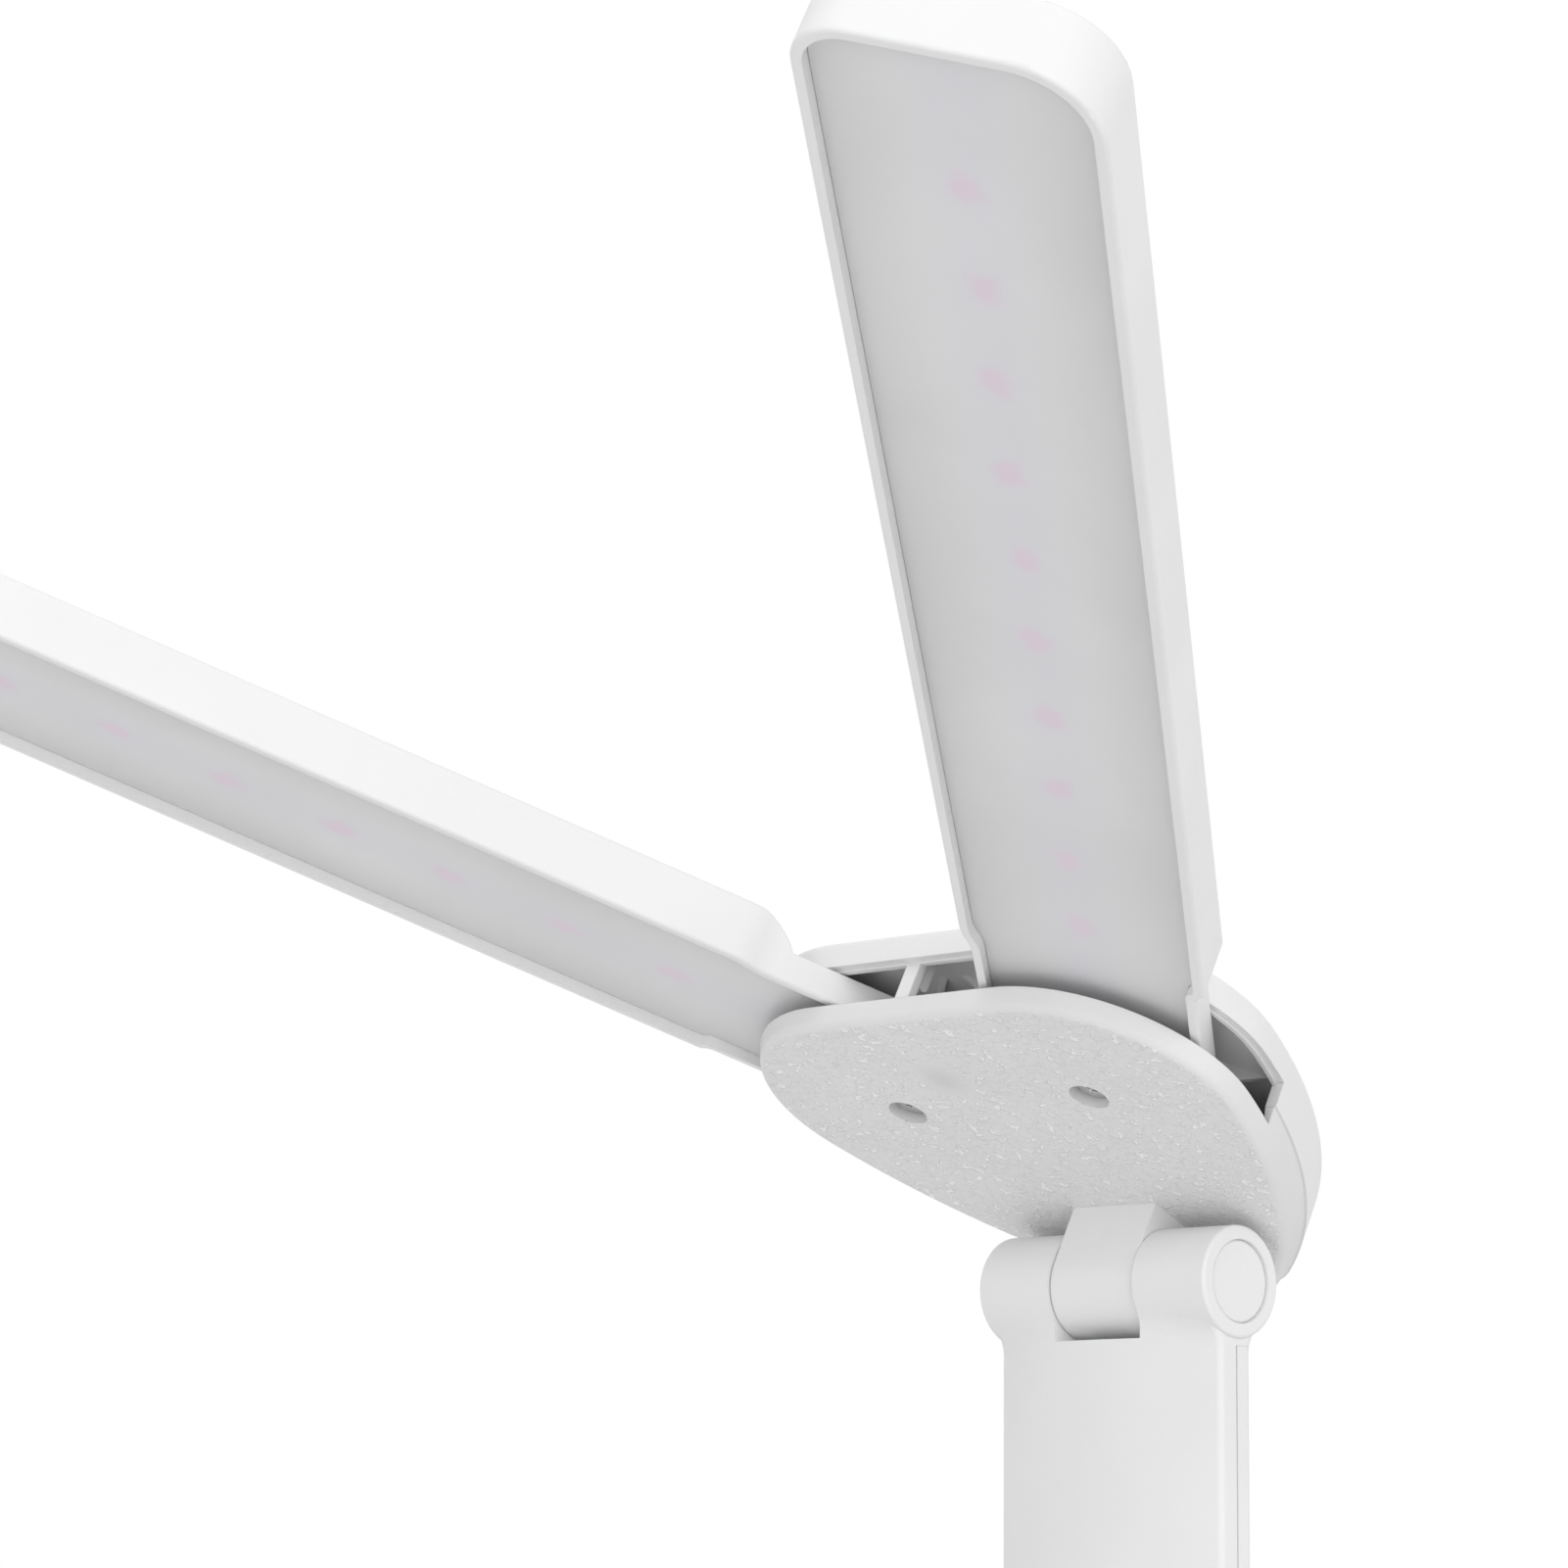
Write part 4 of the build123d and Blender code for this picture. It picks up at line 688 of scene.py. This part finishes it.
# %% [markdown]
# ## Giving the frame its finishes
# The frame's record says which material slot each piece belongs to.  The two diffusers have their own
# material each, because their LED rows run along different bars.

# %% Assign the finishes
slot_of = {part["node"]: part["material_slot"] for part in frame["record"]["subparts"]}
for node, piece in frame["nodes"].items():
    finish = diffuser_finish.get(node) or finishes[slot_of[node]]
    piece.data.materials.clear()
    piece.data.materials.append(finish)
print("pieces finished:", len(slot_of))

# %% [markdown]
# ## Small pieces that are finer than the frame
# The frame draws each screw as a plain head and shank, each LED as a block and the touch disc as a flat
# plate, because that is all that the mechanics need.  Here they get the shape that a close look shows.
# Each is modelled as by hand: a primitive at its own size, shaped in edit mode with inset, extrude and
# bevel, and a Boolean where something is cut.  They could also be made vertex by vertex in code, but
# the operators say plainly what was done.
#
# Three helpers come first.  `pick` selects faces or edges by a test of their place, which is how a hand
# would pick them.  `solids_of` reads the closed solids of a frame node, to find out where each screw or
# LED stands.  `put` moves a copy to its place with the place in the mesh, as the frame's own nodes have
# it.

# %% Modelling helpers
import bmesh


def pick(piece, kind, test):
    """In edit mode, select the faces or edges that pass the test and nothing else."""
    bpy.ops.mesh.select_mode(type=kind)
    bpy.ops.mesh.select_all(action="DESELECT")
    shape = bmesh.from_edit_mesh(piece.data)
    for element in (shape.faces if kind == "FACE" else shape.edges):
        element.select = test(element)
    bmesh.update_edit_mesh(piece.data)


def facing(axis, least=0.9):
    """A test for faces that look along an axis."""
    return lambda face: face.normal.dot(Vector(axis)) > least


def rim_at(level, least_radius=0.0):
    """A test for edges that lie at a height and away from the z axis."""
    def test(edge):
        return all(abs(corner.co.z - level) < 1e-6 and corner.co.xy.length >= least_radius
                   for corner in edge.verts)
    return test


def solids_of(node):
    """Corner points of each closed solid in a frame node, in order of place."""
    shape = bmesh.new()
    shape.from_mesh(frame["nodes"][node].data)
    bmesh.ops.remove_doubles(shape, verts=shape.verts, dist=1e-6)
    solids, waiting = [], set(shape.verts)
    while waiting:
        points, reached = [], [waiting.pop()]
        while reached:
            corner = reached.pop()
            points.append(corner.co.copy())
            beside = {edge.other_vert(corner) for edge in corner.link_edges} & waiting
            waiting -= beside
            reached += beside
        solids.append(points)
    shape.free()
    return sorted(solids, key=lambda points: tuple(round(value, 5) for value in points[0]))


def box_along(points, axes):
    """Middle and sides of the box round some points, whose edges run along three axes."""
    low = [min(point.dot(axis) for point in points) for axis in axes]
    high = [max(point.dot(axis) for point in points) for axis in axes]
    middle = sum(((least + most) / 2 * axis for least, most, axis in zip(low, high, axes)), Vector())
    return middle, [most - least for least, most in zip(low, high)]


def put(model, name, origin, x_axis, z_axis):
    """A copy of a model that was made at the world's origin, with its own mesh, moved to its place."""
    piece = model.copy()
    piece.data = model.data.copy()
    piece.name = piece.data.name = name
    bpy.context.scene.collection.objects.link(piece)
    axes = Matrix((x_axis, z_axis.cross(x_axis), z_axis)).transposed().to_4x4()
    piece.data.transform(Matrix.Translation(origin) @ axes)
    return piece


def finish_piece(piece, body, finish, slot, *nodes):
    """Ride, material and the frame nodes that the piece stands for; the slot is not used."""
    if not piece.data.materials:
        piece.data.materials.append(finishes[finish])
    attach(piece, body)
    if nodes:
        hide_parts(*nodes)


print("modelling helpers ready")

# %% [markdown]
# ## Screws with a cross recess
# Twelve screws hold the lamp together, in five sizes: at the light bars' pivots, through the two hinge
# tongues, under the pedestal and in the base.  All are pan heads with a cross recess.  Each size is
# modelled once, with its head on the world's origin, and copied.  The head's edge is rounded with a
# bevel, the shank is drawn out of the head in small steps whose ridges stand for the thread, and the
# cross is cut with two Booleans from one tapered bar, as a driver's blades would press it.

# %% One screw
def model_cross_blade(head_radius, depth):
    """A tapered bar, as long as the cross is wide."""
    bpy.ops.object.select_all(action="DESELECT")
    bpy.ops.mesh.primitive_cube_add(size=1, location=(0, 0, 0), scale=(1.1 * head_radius, 0.24 * head_radius,
                                                                     2 * depth))
    blade = bpy.context.object
    bpy.ops.object.transform_apply(location=True, scale=True)
    bpy.ops.object.mode_set(mode="EDIT")
    pick(blade, "FACE", facing((0, 0, 1)))
    bpy.ops.transform.resize(value=(0.45, 0.6, 1))
    bpy.ops.object.mode_set(mode="OBJECT")
    return blade


def model_screw(head_radius, head_height, shank_radius, length):
    """Head from z = 0, shank up to z = length."""
    bpy.ops.object.select_all(action="DESELECT")
    bpy.ops.mesh.primitive_cylinder_add(vertices=40, radius=head_radius, depth=head_height,
                                        location=(0, 0, head_height / 2))
    screw = bpy.context.object
    bpy.ops.object.transform_apply(location=True)
    bpy.ops.object.mode_set(mode="EDIT")
    pick(screw, "EDGE", rim_at(0))
    bpy.ops.mesh.bevel(offset=0.32 * head_height, segments=4, affect="EDGES")
    pick(screw, "FACE", facing((0, 0, 1)))
    bpy.ops.mesh.inset(thickness=head_radius - shank_radius)
    ridges = int((length - head_height) / (0.5 * shank_radius))
    step = 0.88 * (length - head_height) / ridges
    for ridge in range(ridges):
        for share, wide in ((0.5, 0.80), (0.5, 1 / 0.80)):
            bpy.ops.mesh.extrude_region_move(TRANSFORM_OT_translate={"value": (0, 0, share * step)})
            bpy.ops.transform.resize(value=(wide, wide, 1))
    bpy.ops.mesh.extrude_region_move(
        TRANSFORM_OT_translate={"value": (0, 0, 0.12 * (length - head_height))})
    bpy.ops.transform.resize(value=(0.35, 0.35, 1))
    bpy.ops.object.mode_set(mode="OBJECT")
    blade = model_cross_blade(head_radius, 0.6 * head_height)
    for quarter in (0, 90):
        blade.rotation_euler.z = math.radians(quarter)
        bpy.context.view_layer.update()
        cut = screw.modifiers.new("cross", "BOOLEAN")
        cut.operation = "DIFFERENCE"
        cut.object = blade
        bpy.context.view_layer.objects.active = screw
        bpy.ops.object.modifier_apply(modifier=cut.name)
    bpy.data.objects.remove(blade)
    bpy.ops.object.select_all(action="DESELECT")
    screw.select_set(True)
    bpy.ops.object.shade_smooth_by_angle(angle=math.radians(30))
    return screw


def measure_screws(node, axis):
    """Where each screw of a node starts, and the sizes that all of them share."""
    starts, sizes = [], None
    sideways = Vector((1, 0, 0))
    for points in solids_of(node):
        middle, _ = box_along(points, (sideways, axis.cross(sideways), axis))
        along = [(point - middle).dot(axis) for point in points]
        across = [((point - middle) - (point - middle).dot(axis) * axis).length for point in points]
        head, tip, head_radius = min(along), max(along), max(across)
        seat = max(place for place, radius in zip(along, across) if radius > 0.98 * head_radius)
        shank_radius = max(radius for place, radius in zip(along, across) if place > tip - 1e-6)
        starts.append(middle + head * axis)
        sizes = (head_radius, seat - head, shank_radius, tip - head)
    return starts, sizes


UP = Vector((0, 0, 1))
screw_sets = (("pivot_screws", "hub", hub_normal), ("hub_tongue_screws", "hub", -hub_normal),
              ("base_tongue_screws", "base", UP), ("pedestal_screws", "base", UP),
              ("base_screws", "base", UP))
for node, body, axis in screw_sets:
    starts, sizes = measure_screws(node, axis)
    model = model_screw(*sizes)
    for number, start in enumerate(starts):
        turn = Matrix.Rotation(math.radians(37 * number + 20), 3, axis)
        screw = put(model, f"{node[:-1]}_{number + 1}", start, turn @ Vector((1, 0, 0)), axis)
        finish_piece(screw, body, "hinge_steel", "hinge_steel", node)
    bpy.data.objects.remove(model)
    print(node, len(starts), "screws, head", round(2 * sizes[0] / MM, 2), "mm across")

# %% [markdown]
# ## LED packages
# Each LED is a white moulded frame round a shallow well that is filled with yellow phosphor.  One is
# modelled, with the well as an inset that is pushed in, and ten copies are joined on each board.

# %% LEDs
def model_led(length, width, height):
    """The board's face at z = 0, the light leaves downwards."""
    bpy.ops.object.select_all(action="DESELECT")
    bpy.ops.mesh.primitive_cube_add(size=1, location=(0, 0, -height / 2), scale=(length, width, height))
    led = bpy.context.object
    bpy.ops.object.transform_apply(location=True, scale=True)
    led.data.materials.append(finishes["led_frame"])
    led.data.materials.append(finishes["led_package"])
    bpy.ops.object.mode_set(mode="EDIT")
    pick(led, "EDGE", lambda edge: abs(edge.verts[0].co.z - edge.verts[1].co.z) > 0.5 * height)
    bpy.ops.mesh.bevel(offset=0.08 * width, segments=2, affect="EDGES")
    pick(led, "FACE", facing((0, 0, -1)))
    bpy.ops.mesh.inset(thickness=0.13 * width)
    bpy.ops.mesh.extrude_region_move(TRANSFORM_OT_translate={"value": (0, 0, 0.25 * height)})
    bpy.ops.transform.resize(value=(0.92, 0.92, 1))
    led.active_material_index = 1
    bpy.ops.object.material_slot_assign()
    bpy.ops.object.mode_set(mode="OBJECT")
    return led


for side, word in ((-1, "left"), (1, "right")):
    along = bar_direction(f"{word}_head_swing", side)
    across = hub_normal.cross(along)
    solids = solids_of(f"{word}_leds")
    ways = (along, across, hub_normal)
    spans = box_along(solids[0], ways)[1]
    model = model_led(*spans)
    copies = []
    for points in solids:
        seat = box_along(points, ways)[0] + hub_normal * spans[2] / 2
        copies.append(put(model, f"{word}_led_row", seat, along, hub_normal))
    bpy.data.objects.remove(model)
    bpy.ops.object.select_all(action="DESELECT")
    for copy in copies:
        copy.select_set(True)
    bpy.context.view_layer.objects.active = copies[0]
    bpy.ops.object.join()
    row = bpy.context.object
    row.name = f"{word}_led_row"
    finish_piece(row, f"{word}_head", "led_package", "led_package", f"{word}_leds")
    print(row.name, len(copies), "LEDs of", [round(span / MM, 2) for span in spans], "mm")

# %% [markdown]
# ## The touch disc and the indicator
# The switch is a disc that senses a fingertip, so it doesn't travel.  A finger finds it by its shallow
# dish and the low ring round it.  The disc starts as a cylinder; its top is inset twice, the ring is
# left standing and the dish is pushed in.  The indicator behind it is the end of a clear light pipe,
# drawn up to a low dome.

# %% Touch disc and indicator
def round_piece(name, node, vertices=64):
    """A cylinder with the place and size of an upright frame node."""
    low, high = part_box(node)
    bpy.ops.object.select_all(action="DESELECT")
    bpy.ops.mesh.primitive_cylinder_add(vertices=vertices, radius=(high.x - low.x) / 2,
                                        depth=high.z - low.z, location=(low + high) / 2)
    piece = bpy.context.object
    piece.name = piece.data.name = name
    bpy.ops.object.transform_apply(location=True)
    return piece


RING_WIDTH = 0.9 * MM
DISH_DEPTH = 0.45 * MM
disc = round_piece("touch_dish", "touch_disc", 96)
bpy.ops.object.mode_set(mode="EDIT")
pick(disc, "FACE", facing((0, 0, 1)))
bpy.ops.mesh.inset(thickness=RING_WIDTH)
bpy.ops.mesh.inset(thickness=0.35 * MM)
bpy.ops.transform.translate(value=(0, 0, -0.3 * MM))
for ring, share in ((1.6 * MM, 0.5), (1.8 * MM, 0.3), (2.0 * MM, 0.2)):
    bpy.ops.mesh.inset(thickness=ring)
    bpy.ops.transform.translate(value=(0, 0, -share * 0.15 * MM))
top = max(corner.co.z for corner in bmesh.from_edit_mesh(disc.data).verts)
pick(disc, "EDGE", lambda edge: all(abs(corner.co.z - top) < 1e-6 for corner in edge.verts))
bpy.ops.mesh.bevel(offset=0.18 * MM, segments=3, affect="EDGES")
bpy.ops.object.mode_set(mode="OBJECT")
bpy.ops.object.shade_smooth_by_angle(angle=math.radians(40))
finish_piece(disc, "base", "touch", "touch", "touch_disc")

pipe = round_piece("indicator_pipe", "indicator_light", 32)
bpy.ops.object.mode_set(mode="EDIT")
pick(pipe, "FACE", facing((0, 0, 1)))
bpy.ops.transform.translate(value=(0, 0, -0.24 * MM))
for ring, rise in ((0.25 * MM, 0.12 * MM), (0.3 * MM, 0.08 * MM), (0.3 * MM, 0.04 * MM)):
    bpy.ops.mesh.inset(thickness=ring)
    bpy.ops.transform.translate(value=(0, 0, rise))
bpy.ops.object.mode_set(mode="OBJECT")
bpy.ops.object.shade_smooth_by_angle(angle=math.radians(40))
finish_piece(pipe, "base", "light_pipe", "light_pipe", "indicator_light")
print("touch disc and indicator:", disc.name, pipe.name)

# %% [markdown]
# ## Contacts in the charging socket
# The socket's tongue carries a row of gold contacts on each face.  One contact is a thin bar whose
# outer face is inset and raised a little; twelve stand side by side, and the row is mirrored to the tongue's other
# face.

# %% Socket contacts
CONTACT_COUNT = 12
CONTACT_PITCH = 0.5 * MM
CONTACT_WIDTH = 0.26 * MM
CONTACT_LENGTH = 4.6 * MM
CONTACT_HEIGHT = 0.06 * MM
TONGUE_HALF = 0.35 * MM
TONGUE_LIP = 0.5 * MM  # bare plastic at the tongue's front

socket_low, socket_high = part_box("charge_socket")
socket_middle = (socket_low + socket_high) / 2
front = socket_high.y - TONGUE_LIP
copies = []
for face in (-1, 1):
    for number in range(CONTACT_COUNT):
        across = (number - (CONTACT_COUNT - 1) / 2) * CONTACT_PITCH
        bpy.ops.object.select_all(action="DESELECT")
        bpy.ops.mesh.primitive_cube_add(
            size=1, scale=(CONTACT_WIDTH, CONTACT_LENGTH, CONTACT_HEIGHT),
            location=(across, front - CONTACT_LENGTH / 2, socket_middle.z + face * TONGUE_HALF))
        contact = bpy.context.object
        bpy.ops.object.transform_apply(location=True, scale=True)
        bpy.ops.object.mode_set(mode="EDIT")
        pick(contact, "FACE", facing((0, 0, face)))
        bpy.ops.mesh.inset(thickness=0.04 * MM)
        bpy.ops.transform.translate(value=(0, 0, face * 0.03 * MM))
        bpy.ops.object.mode_set(mode="OBJECT")
        copies.append(contact)
bpy.ops.object.select_all(action="DESELECT")
for contact in copies:
    contact.select_set(True)
bpy.context.view_layer.objects.active = copies[0]
bpy.ops.object.join()
contacts = bpy.context.object
contacts.name = contacts.data.name = "socket_contacts"
finish_piece(contacts, "base", "gold_contact", "socket_shell")
print("socket contacts:", 2 * CONTACT_COUNT)

# %% [markdown]
# ## The pad under the base
# The pad's underside is moulded with two grooves that follow its outline, so that it grips and lets air
# out.  It starts as a cube whose upright edges are bevelled to the outline's corners.  The grooves are
# insets of the underside that are pushed up.

# %% Non-slip pad
PAD_CORNER = 18.6 * MM
GROOVE_DEPTH = 0.35 * MM
pad_low, pad_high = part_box("non_slip_pad")
bpy.ops.object.select_all(action="DESELECT")
bpy.ops.mesh.primitive_cube_add(size=1, location=(pad_low + pad_high) / 2, scale=pad_high - pad_low)
pad = bpy.context.object
pad.name = pad.data.name = "grooved_pad"
bpy.ops.object.transform_apply(location=True, scale=True)
bpy.ops.object.mode_set(mode="EDIT")
pick(pad, "EDGE", lambda edge: abs(edge.verts[0].co.z - edge.verts[1].co.z) > 1e-5)
bpy.ops.mesh.bevel(offset=PAD_CORNER, segments=16, affect="EDGES")
pick(pad, "FACE", facing((0, 0, -1)))
for border in (4.0 * MM, 3.0 * MM):
    bpy.ops.mesh.inset(thickness=border)
    bpy.ops.mesh.inset(thickness=0.15 * MM)
    bpy.ops.transform.translate(value=(0, 0, GROOVE_DEPTH))
    bpy.ops.mesh.inset(thickness=1.2 * MM)
    bpy.ops.mesh.inset(thickness=0.15 * MM)
    bpy.ops.transform.translate(value=(0, 0, -GROOVE_DEPTH))
bpy.ops.object.mode_set(mode="OBJECT")
finish_piece(pad, "base", "pad", "pad", "non_slip_pad")
print("pad:", [round(side / MM, 1) for side in pad.dimensions])

# %% Floor finish
def make_floor_finish():
    material, tree, shader, normal = start_finish("studio_paper", (0.86, 0.86, 0.86), 0.9, 0.1)
    place = place_in_mm(tree)
    clouds = use_group(tree, moulding_clouds, Place=place, Colour=(0.86, 0.86, 0.86, 1), Size=300.0,
                       Depth=0.01, Roughness=0.9)
    link(tree, clouds.outputs["Colour"], shader.inputs["Base Color"])
    shader.inputs["Specular IOR Level"].default_value = 0.0
    return material


floor.data.materials.append(make_floor_finish())
print("floor finish:", floor.data.materials[0].name)

# %% Update the scene
bpy.context.view_layer.update()
